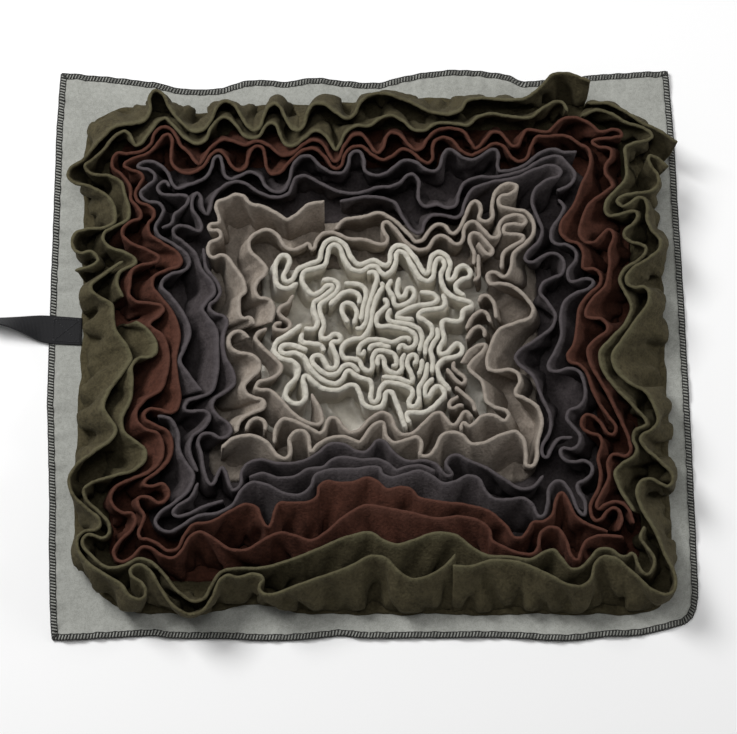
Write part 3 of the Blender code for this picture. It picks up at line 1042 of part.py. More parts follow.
def make_strap(collection, materials):
    """Webbing that lies on the felt's left margin and runs off it, turning on edge."""
    vertices = []
    for x, near_y, near_z, far_y, far_z in STRAP:
        run = math.hypot(far_y - near_y, far_z - near_z)
        up_y = (near_z - far_z) / run * STRAP_THICKNESS
        up_z = (far_y - near_y) / run * STRAP_THICKNESS
        vertices.append((x, near_y, near_z))
        vertices.append((x, far_y, far_z))
        vertices.append((x, near_y + up_y, near_z + up_z))
        vertices.append((x, far_y + up_y, far_z + up_z))
    faces = strip_faces(len(STRAP))
    return new_object("strap", vertices, faces, "black_webbing", collection, materials)


# --- assembly ----------------------------------------------------------------------------
def make_materials():
    """One material for each finish."""
    made = {}
    for name, red, green, blue, roughness in FINISHES:
        material = bpy.data.materials.new(name)
        material.use_nodes = True
        shader = material.node_tree.nodes["Principled BSDF"]
        shader.inputs["Base Color"].default_value = (red, green, blue, 1.0)
        shader.inputs["Roughness"].default_value = roughness
        made[name] = material
    return made


def make_strips(collection, materials):
    """All fleece strips, eased apart."""
    rims, feet, thicknesses = [], [], []
    for strip, rows_in, finish in STRIPS:
        rim = evenly(spline(FOLDS[strip], 8), RIM_STEP)
        foot = foot_upright(rim) if rows_in is None else foot_on_seam(strip, rim, rows_in)
        marks = section_marks(rim)
        rims.append(at_marks(rim, marks))
        feet.append(at_marks(foot, marks))
        pale = finish == "pale_fleece"
        thicknesses.append(PALE_FLEECE_THICKNESS if pale else FLEECE_THICKNESS)
    sections = Sections(rims, feet, thicknesses)
    ease(sections)
    for index, (strip, _, finish) in enumerate(STRIPS):
        mine = sections.strip == index
        make_strip(strip, sections.rim[mine], sections.foot[mine], thicknesses[index],
                   finish, collection, materials)


def main():
    """Build the mat."""
    mat = bpy.data.collections.new("snuffle_mat")
    bpy.context.scene.collection.children.link(mat)
    materials = make_materials()
    make_felt(mat, materials)
    make_strap(mat, materials)
    make_strips(mat, materials)


main()
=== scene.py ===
"""Looks of a felt snuffle mat: ruffled fleece frills, an overlocked felt base and a webbing strap.

Every piece is built round the solid that it stands for: each frill follows the foot and the rim of
its solid, the felt follows the outline of the base, and the strap lies where the solid strap lies.
Only the turned-under edges of the strips, which lie on the felt between the seams, stand for no solid.
Lengths are in metres unless a line says otherwise.
"""

from __future__ import annotations

import logging
import math
from dataclasses import asdict, dataclass, field
from enum import Enum
from typing import ClassVar

import bpy
import numpy as np
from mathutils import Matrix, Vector
from mathutils.kdtree import KDTree


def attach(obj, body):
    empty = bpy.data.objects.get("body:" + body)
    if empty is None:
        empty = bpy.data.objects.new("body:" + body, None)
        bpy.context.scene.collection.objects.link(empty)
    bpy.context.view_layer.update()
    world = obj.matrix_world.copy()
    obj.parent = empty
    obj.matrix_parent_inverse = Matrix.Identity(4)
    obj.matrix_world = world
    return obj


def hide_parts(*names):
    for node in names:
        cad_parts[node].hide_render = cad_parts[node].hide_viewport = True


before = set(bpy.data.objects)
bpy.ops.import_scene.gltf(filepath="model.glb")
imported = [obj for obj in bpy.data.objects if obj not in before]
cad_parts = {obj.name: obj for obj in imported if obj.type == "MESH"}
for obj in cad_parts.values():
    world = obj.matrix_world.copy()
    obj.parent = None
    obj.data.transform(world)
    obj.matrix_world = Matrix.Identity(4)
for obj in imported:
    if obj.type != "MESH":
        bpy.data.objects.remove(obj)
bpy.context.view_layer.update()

LOG = logging.getLogger("snuffle_mat")
BODY = "root"


class FleeceColour(Enum):
    """The dyes of the fleece from the edge of the mat inwards, by the first word of a frill's name."""

    OLIVE = "olive"
    RUST = "rust"
    SLATE = "slate"
    TAUPE = "taupe"
    PALE = "pale"


@dataclass(frozen=True)
class FibreFinish:
    """Colour and surface of one fibrous cloth.

    Attributes:
        slot: the record's material slot.
        shade: linear colour in the hollows of the nap.
        tip: linear colour of the brushed fibre tips.
        edge: linear colour of the rim band, for the fuzzy cut edge and also painted light: lighter than
            the tip as a painted highlight on olive, darker as painted shade on rust, taupe and pale.
        grain: size of the fibre clumps, in metres.
        cloud: size of the soft lighter and darker patches, in metres.
        roughness: roughness of the fibres.
        sheen: weight of the soft rim glow of the nap.
        relief: depth of the nap in the bump, in metres.
    """

    slot: str
    shade: tuple[float, float, float]
    tip: tuple[float, float, float]
    edge: tuple[float, float, float]
    grain: float = 0.0027
    cloud: float = 0.020
    roughness: float = 0.95
    sheen: float = 0.06
    relief: float = 0.0018


# Each edge colour is painted light on the rims: a painted highlight where it is lighter than the tip,
# painted shade where it is darker, set against how brightly those rims are lit.
FLEECE_FINISHES = {
    FleeceColour.OLIVE: FibreFinish(
        "olive_fleece", shade=(.031, .025, .012), tip=(.081, .068, .036), edge=(.100, .090, .050)
    ),
    FleeceColour.RUST: FibreFinish(
        "rust_fleece", shade=(.034, .012, .007), tip=(.094, .034, .021), edge=(.082, .033, .022)
    ),
    FleeceColour.SLATE: FibreFinish(
        "slate_fleece", shade=(.032, .026, .027), tip=(.078, .066, .067), edge=(.078, .067, .070)
    ),
    FleeceColour.TAUPE: FibreFinish(
        "taupe_fleece", shade=(.205, .172, .141), tip=(.365, .313, .263), edge=(.305, .264, .224)
    ),
    FleeceColour.PALE: FibreFinish(
        "pale_fleece", shade=(.670, .634, .556), tip=(.810, .775, .694), edge=(.505, .480, .416)
    ),
}
FELT_FINISH = FibreFinish(
    "grey_felt", shade=(.250, .254, .231), tip=(.400, .405, .375), edge=(.400, .405, .375),
    grain=0.0011, cloud=0.045, roughness=0.97, sheen=0.04, relief=0.0003,
)


@dataclass(frozen=True)
class WebbingFinish:
    """Colour and weave of the woven tape.

    Attributes:
        slot: the record's material slot.
        valley: linear colour between the ribs.
        rib: linear colour on the ribs.
        pitch: spacing of the ribs, in metres.
        roughness: roughness of the yarn.
        relief: depth of the weave in the bump, in metres.
    """

    slot: str = "black_webbing"
    valley: tuple[float, float, float] = (.006, .006, .007)
    rib: tuple[float, float, float] = (.030, .030, .033)
    pitch: float = 0.0013
    roughness: float = 0.62
    relief: float = 0.0004


@dataclass(frozen=True)
class ThreadFinish:
    """Colour of the overlock and sewing thread.

    Attributes:
        name: name of the material.
        dark: linear colour in the twist of the thread.
        light: linear colour on the twist.
        roughness: roughness of the thread.
        grain: size of the twist, in metres.
        cloud: size of the lighter and darker stretches, in metres.
        relief: depth of the twist in the bump, in metres.
    """

    name: str
    dark: tuple[float, float, float]
    light: tuple[float, float, float]
    roughness: float = 0.7
    grain: float = 1 / 1800
    cloud: float = 1 / 200
    relief: float = 0.0002


EDGE_THREAD = ThreadFinish("charcoal_thread", dark=(.016, .016, .015), light=(.050, .050, .047))
STRAP_THREAD = ThreadFinish(
    "black_thread", dark=(.010, .010, .011), light=(.060, .060, .064), roughness=0.5
)


class ShaderGroups:
    """The effects that several materials share, each a node group with named sockets.

    Attributes:
        clump_weight: how much the clumps count in the nap.
        cloud_weight: how much the clouds count in it.
        speck_scale: scale of the specks, as a share of that of the clumps.
        nap_range: sums of the three at which the nap is all shade and all tip.
        rim_light_band: heights between which the colour turns into the rim tone, which is painted light
            on the rims.
        rim_raggedness: how far the clumps shift that band.
        rib_distortion: unevenness of the woven ribs.
    """

    clump_weight = 1.9
    cloud_weight = 0.7
    speck_scale = 0.33
    nap_range = (1.30, 2.30)
    rim_light_band = (0.0480, 0.0565)
    rim_raggedness = 0.007
    rib_distortion = 0.6

    def __init__(self) -> None:
        """Builds the groups once."""
        self.fibre = self._fibre()
        self.rib = self._rib()

    @staticmethod
    def _group(
        name: str, inputs: dict[str, str], outputs: dict[str, str]
    ) -> tuple[bpy.types.ShaderNodeTree, bpy.types.ShaderNode, bpy.types.ShaderNode]:
        """A new group with named sockets.

        Args:
            name: name of the group.
            inputs: socket type by input name.
            outputs: socket type by output name.

        Returns:
            The group, the node of its inputs and the node of its outputs.
        """
        group = bpy.data.node_groups.new(name, "ShaderNodeTree")
        for key, kind in inputs.items():
            group.interface.new_socket(name=key, in_out="INPUT", socket_type=kind)
        for key, kind in outputs.items():
            group.interface.new_socket(name=key, in_out="OUTPUT", socket_type=kind)
        return group, group.nodes.new("NodeGroupInput"), group.nodes.new("NodeGroupOutput")

    @staticmethod
    def _scaled(
        group: bpy.types.ShaderNodeTree,
        value: bpy.types.NodeSocket,
        factor: float | bpy.types.NodeSocket,
        added: bpy.types.NodeSocket | None = None,
    ) -> bpy.types.NodeSocket:
        """A value times a factor, and another value added where one is given.

        Args:
            group: the group.
            value: the value.
            factor: what it is multiplied by.
            added: what is added to it.

        Returns:
            The socket of the result.
        """
        node = group.nodes.new("ShaderNodeMath")
        node.operation = "MULTIPLY" if added is None else "MULTIPLY_ADD"
        group.links.new(value, node.inputs[0])
        if isinstance(factor, float):
            node.inputs[1].default_value = factor
        else:
            group.links.new(factor, node.inputs[1])
        if added is not None:
            group.links.new(added, node.inputs[2])
        return node.outputs[0]

    @staticmethod
    def _mixed(
        group: bpy.types.ShaderNodeTree,
        share: bpy.types.NodeSocket,
        first: bpy.types.NodeSocket,
        second: bpy.types.NodeSocket,
    ) -> bpy.types.NodeSocket:
        """A mix of two colours.

        Args:
            group: the group.
            share: share of the second colour.
            first: the first colour.
            second: the second colour.

        Returns:
            The socket of the mix.
        """
        node = group.nodes.new("ShaderNodeMix")
        node.data_type = "RGBA"
        for source, key in ((share, "Factor"), (first, "A"), (second, "B")):
            group.links.new(source, node.inputs[key])
        return node.outputs["Result"]

    @staticmethod
    def _ranged(
        group: bpy.types.ShaderNodeTree,
        value: bpy.types.NodeSocket,
        ends: tuple[float, float],
        kind: str,
    ) -> bpy.types.NodeSocket:
        """A value spread from 0 to 1 between two ends.

        Args:
            group: the group.
            value: the value.
            ends: the values that become 0 and 1.
            kind: how it runs between them.

        Returns:
            The socket of the result.
        """
        node = group.nodes.new("ShaderNodeMapRange")
        node.interpolation_type = kind
        node.inputs["From Min"].default_value, node.inputs["From Max"].default_value = ends
        group.links.new(value, node.inputs["Value"])
        return node.outputs["Result"]

    def _fibre(self) -> bpy.types.ShaderNodeTree:
        """Brushed fibres: clumps of nap over soft cloudy patches, and near the top a rim tone of painted
        light.

        Returns:
            The group, which puts out a colour and a height from 0 to 1.
        """
        group, entry, leave = self._group(
            "fibre_nap",
            {"Shade": "NodeSocketColor", "Tip": "NodeSocketColor", "Painted Rim Tone": "NodeSocketColor",
             "Clumps": "NodeSocketFloat", "Clouds": "NodeSocketFloat"},
            {"Colour": "NodeSocketColor", "Height": "NodeSocketFloat"},
        )
        place = group.nodes.new("ShaderNodeTexCoord").outputs["Object"]
        finer = self._scaled(group, entry.outputs["Clumps"], self.speck_scale)
        noises = []
        for scale, detail, rough in (
            (entry.outputs["Clumps"], 5.0, 0.65), (entry.outputs["Clouds"], 3.0, 0.55), (finer, 2.0, 0.5)
        ):
            noise = group.nodes.new("ShaderNodeTexNoise")
            noise.inputs["Detail"].default_value = detail
            noise.inputs["Roughness"].default_value = rough
            group.links.new(place, noise.inputs["Vector"])
            group.links.new(scale, noise.inputs["Scale"])
            noises.append(noise.outputs["Fac"])
        clumps, clouds, specks = noises
        patches = self._scaled(group, clouds, self.cloud_weight, specks)
        total = self._scaled(group, clumps, self.clump_weight, patches)
        nap = self._ranged(group, total, self.nap_range, "LINEAR")
        colour = self._mixed(group, nap, entry.outputs["Shade"], entry.outputs["Tip"])
        # Painted light: near the top of the wall the colour turns to the rim tone, a painted highlight
        # on olive rims and painted shade on rust, taupe and pale rims.
        split = group.nodes.new("ShaderNodeSeparateXYZ")
        group.links.new(place, split.inputs[0])
        ragged = self._scaled(group, clumps, self.rim_raggedness, split.outputs["Z"])
        rim_light_share = self._ranged(group, ragged, self.rim_light_band, "SMOOTHSTEP")
        rim_lit_colour = self._mixed(group, rim_light_share, colour, entry.outputs["Painted Rim Tone"])
        group.links.new(rim_lit_colour, leave.inputs["Colour"])
        group.links.new(clumps, leave.inputs["Height"])
        return group

    def _rib(self) -> bpy.types.ShaderNodeTree:
        """Ribs of a woven tape, crossed by its picks.

        Returns:
            The group, which puts out a colour and a height from 0 to 1.
        """
        group, entry, leave = self._group(
            "woven_rib",
            {"Valley": "NodeSocketColor", "Rib": "NodeSocketColor", "Pitch": "NodeSocketFloat"},
            {"Colour": "NodeSocketColor", "Height": "NodeSocketFloat"},
        )
        place = group.nodes.new("ShaderNodeTexCoord").outputs["Object"]
        waves = []
        for direction in ("Y", "X"):
            wave = group.nodes.new("ShaderNodeTexWave")
            wave.bands_direction = direction
            wave.inputs["Distortion"].default_value = self.rib_distortion
            group.links.new(place, wave.inputs["Vector"])
            group.links.new(entry.outputs["Pitch"], wave.inputs["Scale"])
            waves.append(wave.outputs["Fac"])
        cross = self._scaled(group, *waves)
        colour = self._mixed(group, cross, entry.outputs["Valley"], entry.outputs["Rib"])
        group.links.new(colour, leave.inputs["Colour"])
        group.links.new(cross, leave.inputs["Height"])
        return group


class Materials:
    """Makes each finish's material once.

    Attributes:
        specular: level of the plain shine of cloth and thread.
        bump_strength: strength of every bump.
        sheen_roughness: roughness of the sheen of the nap.
        sheen_lift: how much lighter than the cut rim the sheen is.
        wave_period: length over which Blender's wave texture repeats at scale 1.
    """

    specular = 0.2
    bump_strength = 0.8
    # sheen_lift: how much lighter than the painted rim tone the tint of the sheen is.
    sheen_roughness = 0.6
    sheen_lift = 1.6
    wave_period = 0.314

    def __init__(self) -> None:
        """Builds the shared groups."""
        self.groups = ShaderGroups()
        self.made: dict[str, bpy.types.Material] = {}

    def _new(
        self,
        name: str,
        group: bpy.types.ShaderNodeTree,
        values: dict[str, float | tuple[float, float, float]],
        roughness: float,
        relief: float,
    ) -> tuple[bpy.types.Material, bpy.types.ShaderNode]:
        """A material whose colour and relief come from a group.

        Args:
            name: name of the material.
            group: the node group of the effect.
            values: what the group's inputs are set to.
            roughness: roughness of the surface.
            relief: depth of the bump, in metres.

        Returns:
            The material and its Principled shader.
        """
        material = bpy.data.materials.new(name)
        material.use_nodes = True
        nodes, links = material.node_tree.nodes, material.node_tree.links
        shader = nodes["Principled BSDF"]
        shader.inputs["Roughness"].default_value = roughness
        shader.inputs["Specular IOR Level"].default_value = self.specular
        effect = nodes.new("ShaderNodeGroup")
        effect.node_tree = group
        for key, value in values.items():
            effect.inputs[key].default_value = (*value, 1.0) if isinstance(value, tuple) else value
        bump = nodes.new("ShaderNodeBump")
        bump.inputs["Distance"].default_value = relief
        bump.inputs["Strength"].default_value = self.bump_strength
        links.new(effect.outputs["Colour"], shader.inputs["Base Color"])
        links.new(effect.outputs["Height"], bump.inputs["Height"])
        links.new(bump.outputs["Normal"], shader.inputs["Normal"])
        self.made[name] = material
        return material, shader

    def fibre(self, finish: FibreFinish) -> bpy.types.Material:
        """The material of a fleece or felt.

        Args:
            finish: what the cloth looks like.

        Returns:
            The material.
        """
        if finish.slot in self.made:
            return self.made[finish.slot]
        # The rim tone is painted light on the rims: lighter than the tip for some dyes, darker for
        # others.
        values = {"Shade": finish.shade, "Tip": finish.tip, "Painted Rim Tone": finish.edge,
                  "Clumps": 1 / finish.grain, "Clouds": 1 / finish.cloud}
        roughness, relief = finish.roughness, finish.relief
        material, shader = self._new(finish.slot, self.groups.fibre, values, roughness, relief)
        tint = (min(1.0, self.sheen_lift * c) for c in finish.edge)
        shader.inputs["Sheen Weight"].default_value = finish.sheen
        shader.inputs["Sheen Roughness"].default_value = self.sheen_roughness
        shader.inputs["Sheen Tint"].default_value = (*tint, 1.0)
        return material

    def webbing(self, finish: WebbingFinish) -> bpy.types.Material:
        """The material of the woven tape.

        Args:
            finish: what the tape looks like.

        Returns:
            The material.
        """
        if finish.slot in self.made:
            return self.made[finish.slot]
        values = {"Valley": finish.valley, "Rib": finish.rib, "Pitch": self.wave_period / finish.pitch}
        return self._new(finish.slot, self.groups.rib, values, finish.roughness, finish.relief)[0]

    def thread(self, finish: ThreadFinish) -> bpy.types.Material:
        """The material of a thread.

        Args:
            finish: what the thread looks like.

        Returns:
            The material.
        """
        if finish.name in self.made:
            return self.made[finish.name]
        values = {"Shade": finish.dark, "Tip": finish.light, "Painted Rim Tone": finish.light,
                  "Clumps": 1 / finish.grain, "Clouds": 1 / finish.cloud}
        return self._new(finish.name, self.groups.fibre, values, finish.roughness, finish.relief)[0]


class Waver:
    """A smooth uneven line: a sum of waves of set lengths, seeded so that it is the same each time.

    Attributes:
        spread: least and greatest true length of a wave, as shares of the set length.
    """

    spread = (0.85, 1.18)

    def __init__(self, seed: int, lengths: tuple[float, ...]) -> None:
        """Chooses each wave's phase and true length.

        Args:
            seed: what the phases come from.
            lengths: wavelengths, in metres.
        """
        chance = np.random.default_rng(seed)
        self.lengths = np.array(lengths) * chance.uniform(*self.spread, len(lengths))
        self.phases = chance.uniform(0, 2 * math.pi, len(lengths))

    def at(self, distance: np.ndarray) -> np.ndarray:
        """The line's values.

        Args:
            distance: distances along it, in metres.

        Returns:
            Values from -1 to 1.
        """
        waves = np.sin(2 * math.pi * distance[..., None] / self.lengths + self.phases)
        return waves.sum(-1) / len(self.lengths)


def smoothstep(value: np.ndarray) -> np.ndarray:
    """Eases a value from 0 to 1 between 0 and 1."""
    value = np.clip(value, 0.0, 1.0)
    return value * value * (3 - 2 * value)


def through(points: np.ndarray, marks: np.ndarray, wanted: np.ndarray) -> np.ndarray:
    """A smooth line through points at uneven marks.

    Args:
        points: the points, one a row.
        marks: each point's place along the line, rising.
        wanted: the places at which the line is wanted.

    Returns:
        The points there.
    """
    steps = np.diff(marks)[:, None]
    slopes = np.diff(points, axis=0) / steps
    inner = (slopes[:-1] * steps[1:] + slopes[1:] * steps[:-1]) / (steps[1:] + steps[:-1])
    tangents = np.vstack([slopes[:1], inner, slopes[-1:]])
    at = np.clip(np.searchsorted(marks, wanted, side="right") - 1, 0, len(marks) - 2)
    run = steps[at]
    u = ((wanted - marks[at])[:, None]) / run
    return (
        (2 * u**3 - 3 * u**2 + 1) * points[at]
        + (u**3 - 2 * u**2 + u) * run * tangents[at]
        + (3 * u**2 - 2 * u**3) * points[at + 1]
        + (u**3 - u**2) * run * tangents[at + 1]
    )


def run_along(line: np.ndarray) -> np.ndarray:
    """Distance of each point of a line from its start."""
    return np.concatenate([[0], np.cumsum(np.linalg.norm(np.diff(line, axis=0), axis=1))])


def evenly(line: np.ndarray, count: int) -> np.ndarray:
    """Evenly spaced points on a closed flat line.

    Args:
        line: its points, with the first again at the end.
        count: number of the points that are wanted.

    Returns:
        The points.
    """
    run = run_along(line)
    marks = np.linspace(0, run[-1], count, endpoint=False)
    return np.stack([np.interp(marks, run, line[:, i]) for i in (0, 1)], 1)


def unit(vectors: np.ndarray) -> np.ndarray:
    """The vectors at length 1."""
    return vectors / np.maximum(np.linalg.norm(vectors, axis=-1, keepdims=True), 1e-12)


def new_piece(name: str, mesh: bpy.types.Mesh, material: bpy.types.Material) -> bpy.types.Object:
    """A smoothly shaded object for a mesh, in the scene, with one material.

    Args:
        name: name of the object and of its mesh.
        mesh: the mesh.
        material: its material.

    Returns:
        The object.
    """
    mesh.name = name
    mesh.materials.append(material)
    mesh.polygons.foreach_set("use_smooth", [True] * len(mesh.polygons))
    mesh.update()
    piece = bpy.data.objects.new(name, mesh)
    bpy.context.scene.collection.objects.link(piece)
    return piece


def new_mesh(points: np.ndarray, faces: list[list[int]]) -> bpy.types.Mesh:
    """A mesh of points and faces.

    Args:
        points: points, in rows of any depth whose last axis is the coordinate.
        faces: numbers of the corners of each face.

    Returns:
        The mesh.
    """
    mesh = bpy.data.meshes.new("mesh")
    mesh.from_pydata(points.reshape(-1, 3).tolist(), [], faces)
    return mesh


def closed_faces(rows: int, size: int, ring_of_rows: bool = False) -> list[list[int]]:
    """Faces between closed rows of points, closed in themselves too or ended by two flat faces.

    Args:
        rows: number of rows.
        size: number of points in a row.
        ring_of_rows: whether the last row joins the first.

    Returns:
        The faces.
    """
    count = rows if ring_of_rows else rows - 1
    start = np.arange(count * size)
    beside = (start // size) * size + (start % size + 1) % size
    faces = (np.stack([start, beside, beside + size, start + size], 1) % (rows * size)).tolist()
    if not ring_of_rows:
        faces.append(list(range(size - 1, -1, -1)))
        faces.append(list(range((rows - 1) * size, rows * size)))
    return faces


def thread_mesh(batches: list[tuple[np.ndarray, float]], sides: int = 5) -> bpy.types.Mesh:
    """One mesh of many short round threads.

    Args:
        batches: points as (thread, place along it, coordinate), each with the radius of its threads.
        sides: number of sides of a thread.

    Returns:
        The mesh.
    """
    turn = np.arange(sides) * 2 * math.pi / sides
    upward, onward = np.array([0.0, 0.0, 1.0]), np.array([1.0, 0.0, 0.0])
    points, faces = [], []
    for paths, radius in batches:
        along = unit(np.gradient(paths, axis=1))
        aside = np.cross(along, upward)
        standing = np.linalg.norm(aside, axis=-1, keepdims=True) < 0.2
        aside = unit(np.where(standing, np.cross(along, onward), aside))
        above = np.cross(aside, along)
        rings = (
            paths[:, :, None]
            + radius * np.cos(turn)[None, None, :, None] * aside[:, :, None]
            + radius * np.sin(turn)[None, None, :, None] * above[:, :, None]
        )
        tube = closed_faces(paths.shape[1], sides)
        for thread in rings.reshape(len(paths), -1, 3):
            faces += [[len(points) + corner for corner in face] for face in tube]
            points += thread.tolist()
    return new_mesh(np.array(points), faces)


@dataclass(frozen=True)
class SeamPull:
    """A place where the sewn rows stray from their straight course.

    Attributes:
        centre: x and y of its middle.
        reach: how far it is felt along x and along y.
        shift: how far the rows stray there along x and along y.
    """

    centre: tuple[float, float]
    reach: tuple[float, float]
    shift: tuple[float, float]


SEAM_PULLS = (
    SeamPull((-0.180, 0.246), (0.055, 0.045), (0.0, -0.0085)),
    SeamPull((0.075, 0.250), (0.100, 0.035), (0.0, 0.0070)),
    SeamPull((0.285, 0.195), (0.045, 0.075), (-0.0125, -0.0020)),
    SeamPull((0.260, 0.245), (0.035, 0.030), (-0.0050, -0.0070)),
    SeamPull((-0.268, -0.250), (0.040, 0.040), (0.0105, 0.0095)),
    SeamPull((-0.108, -0.262), (0.036, 0.030), (0.0, 0.0085)),
    SeamPull((-0.280, 0.015), (0.035, 0.085), (0.0030, 0.0)),
)
SEAM_SWAY = 0.0009
SEAM_SWAY_LENGTHS = ((0.0093, 0.041), (0.0101, 0.037))


def strayed(points: np.ndarray) -> np.ndarray:
    """How far places on the sewn rows stray: the pulls and a slight sway.

    Args:
        points: x and y of the places.

    Returns:
        The shift of each.
    """
    x, y = points[..., 0], points[..., 1]
    sways = [
        np.sin(run / short + 2 * np.sin(run / long))
        for run, (short, long) in zip((y, x), SEAM_SWAY_LENGTHS)
    ]
    shift = SEAM_SWAY * np.stack(sways, -1)
    for pull in SEAM_PULLS:
        far = ((x - pull.centre[0]) / pull.reach[0]) ** 2 + ((y - pull.centre[1]) / pull.reach[1]) ** 2
        shift = shift + np.exp(-far)[..., None] * np.array(pull.shift)
    return shift


@dataclass(frozen=True)
class SeamPlan:
    """The rounded rectangle of the outermost seam and those nested in it.

    Attributes:
        box: low x, low y, high x, high y of the outermost seam.
        overhang: how far the cut edge lies beyond the seam at the left, near, right and far side.
        radii: corner radii, far right, far left, near left, near right.
        shrink: how much smaller a radius gets, per length of inset.
        fade: inset at which the overhang has gone.
        roundest: greatest corner radius, as a share of the shorter side.
        bend_points: number of points in a corner.
    """

    box: tuple[float, float, float, float] = (-0.276, -0.2588, 0.2857, 0.248)
    overhang: tuple[float, float, float, float] = (0.0046, 0.0030, 0.0004, 0.0)
    radii: tuple[float, float, float, float] = (0.034, 0.046, 0.048, 0.034)
    shrink: float = 0.1
    fade: float = 0.016
    roundest: float = 0.48
    bend_points: int = 25

    def line(self, inset: float, count: int) -> np.ndarray:
        """One nested rounded rectangle, counter-clockwise and evenly spaced.

        Args:
            inset: how far inside the outermost seam it lies.
            count: number of its points.

        Returns:
            Its points.
        """
        spread = 1 - smoothstep(np.array(inset / self.fade))
        left, near, right, far = (float(side * spread) for side in self.overhang)
        low_x, low_y = self.box[0] + inset - left, self.box[1] + inset - near
        high_x, high_y = self.box[2] - inset + right, self.box[3] - inset + far
        least = self.radii[0] - self.shrink * inset
        widest = self.roundest * min(high_x - low_x, high_y - low_y)
        bends = [min(max(radius - inset, least), widest) for radius in self.radii]
        middles = [
            (high_x - bends[0], high_y - bends[0]),
            (low_x + bends[1], high_y - bends[1]),
            (low_x + bends[2], low_y + bends[2]),
            (high_x - bends[3], low_y + bends[3]),
        ]
        turns = np.radians(np.linspace(0, 90, self.bend_points))
        bend_lines = [
            np.array(middle) + bend * np.stack([np.cos(turns + quarter), np.sin(turns + quarter)], 1)
            for middle, bend, quarter in zip(middles, bends, np.radians([0, 90, 180, 270]))
        ]
        return evenly(np.vstack([*bend_lines, bend_lines[0][:1]]), count)


def wandering(
    along: np.ndarray, spacing: float, *sways: tuple[float, np.ndarray, float]
) -> np.ndarray:
    """Phase of folds that wander from side to side.

    Args:
        along: places across the folds.
        spacing: length of a radian of them.
        sways: size in radians, places along the folds, and length of a radian, of each sway.

    Returns:
        The phase at each place.
    """
    return sum((size * np.sin(across / length) for size, across, length in sways), along / spacing)


@dataclass
class Turning:
    """The turned-under edges of the strips of one dye, lying sewn on the felt between the seams.

    Attributes:
        colour: the dye.
        outer: inset of its outer edge from the outermost seam.
        inner: inset of its inner edge, or None where it fills the middle.
        count: points along an edge.
        heap: height to which its folds are bunched between the walls.
        plan: the seams.
        floor: height of the felt's face.
        thickness: thickness of the flattened fleece.
        row: spacing of the rows between its edges.
        wrinkle: height of its wrinkles.
        ragged: unevenness of its cut edges.
        edge_share: thickness at its edges, as a share.
        heap_power: sharpness of the bunched folds.
        edge_turns: waves of the cut edges in one round.
        closing: inset at which the middle is nearly closed, as a share of the shorter side.
    """

    colour: FleeceColour
    outer: float
    inner: float | None
    count: int
    heap: float
    plan: SeamPlan = SeamPlan()
    floor: float = 0.00195
    thickness: float = 0.0013
    row: float = 0.0025
    wrinkle: float = 0.00035
    ragged: float = 0.0006
    edge_share: float = 0.6
    heap_power: float = 1.4
    edge_turns: ClassVar[tuple[int, ...]] = (61, 97, 151)
    closing: ClassVar[float] = 0.495

    def build(self, materials: Materials) -> bpy.types.Object:
        """Args:
            materials: where its material comes from.

        Returns:
            The piece.
        """
        finish = FLEECE_FINISHES[self.colour]
        piece = new_piece(self.colour.value + "_turning", self._mesh(), materials.fibre(finish))
        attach(piece, BODY)
        self._flat()
        return piece

    def _edge(self, inset: float) -> np.ndarray:
        """One row of its points.

        Args:
            inset: how far inside the outermost seam it lies.

        Returns:
            The points.
        """
        line = self.plan.line(inset, self.count)
        ahead = unit(np.roll(line, -1, 0) - np.roll(line, 1, 0))
        inward = np.stack([-ahead[:, 1], ahead[:, 0]], 1)
        run = np.arange(self.count) / self.count
        waves = sum(np.sin(2 * math.pi * (turns * run + 0.37 * turns)) for turns in self.edge_turns)
        waves = waves / len(self.edge_turns)
        return line + strayed(line) + inward * (self.ragged * waves)[:, None]

    def _mesh(self) -> bpy.types.Mesh:
        """The wrinkled cloth.

        Returns:
            A closed mesh.
        """
        last = self.inner
        if last is None:
            low_x, low_y, high_x, high_y = self.plan.box
            last = self.closing * min(high_x - low_x, high_y - low_y)
        rows = max(3, round((last - self.outer) / self.row) + 1)
        flat = np.stack([self._edge(inset) for inset in np.linspace(self.outer, last, rows)])
        x, y = flat[..., 0], flat[..., 1]
        folds = np.sin(wandering(x, 0.0061, (1.7, y, 0.013)))
        folds = folds + np.sin(wandering(y, 0.0053, (1.3, x, 0.017)))
        height = self.floor + self.thickness + self.wrinkle * folds
        bend = wandering(x, 0.0047, (2.1, y, 0.0121), (1.6, x + y, 0.0173))
        other = wandering(y, 0.0052, (1.9, x, 0.0137), (1.4, x - y, 0.0211))
        ridges = (1 - np.abs(np.sin(bend / 2))) * 0.6 + (1 - np.abs(np.sin(other / 2))) * 0.4
        height = height + self.heap * ridges**self.heap_power
        height[0] = self.floor + self.edge_share * self.thickness
        if self.inner is not None:
            height[-1] = height[0]
        upper = np.concatenate([flat, height[..., None]], 2)
        lower = np.concatenate([flat, np.full_like(height, self.floor)[..., None]], 2)[::-1]
        if self.inner is not None:
            lower = lower[[0, -1]]
        points = np.concatenate([lower, upper])
        return new_mesh(points, closed_faces(len(points), self.count, self.inner is not None))

    def _flat(self) -> tuple[float, float]:
        """Size of the cloth as cut: the strip's width and length, or the sides of the middle."""
        if self.inner is None:
            size = np.ptp(self.plan.line(self.outer, self.count), axis=0)
            return float(size[0]), float(size[1])
        middle = self.plan.line((self.outer + self.inner) / 2, self.count)
        length = float(np.linalg.norm(np.roll(middle, -1, 0) - middle, axis=1).sum())
        return self.inner - self.outer, length


def turnings() -> list[Turning]:
    """The turnings of all dyes, from the outermost seam inwards.

    Returns:
        One turning for each dye, in the order of the dyes.
    """
    insets = (-0.0002, 0.0285, 0.0665, 0.1235, 0.171, None)
    counts = (800, 800, 720, 600, 440)
    heaps = (0.0008, 0.0015, 0.0040, 0.0100, 0.0150)
    return [
        Turning(*values) for values in zip(FleeceColour, insets[:-1], insets[1:], counts, heaps)
    ]


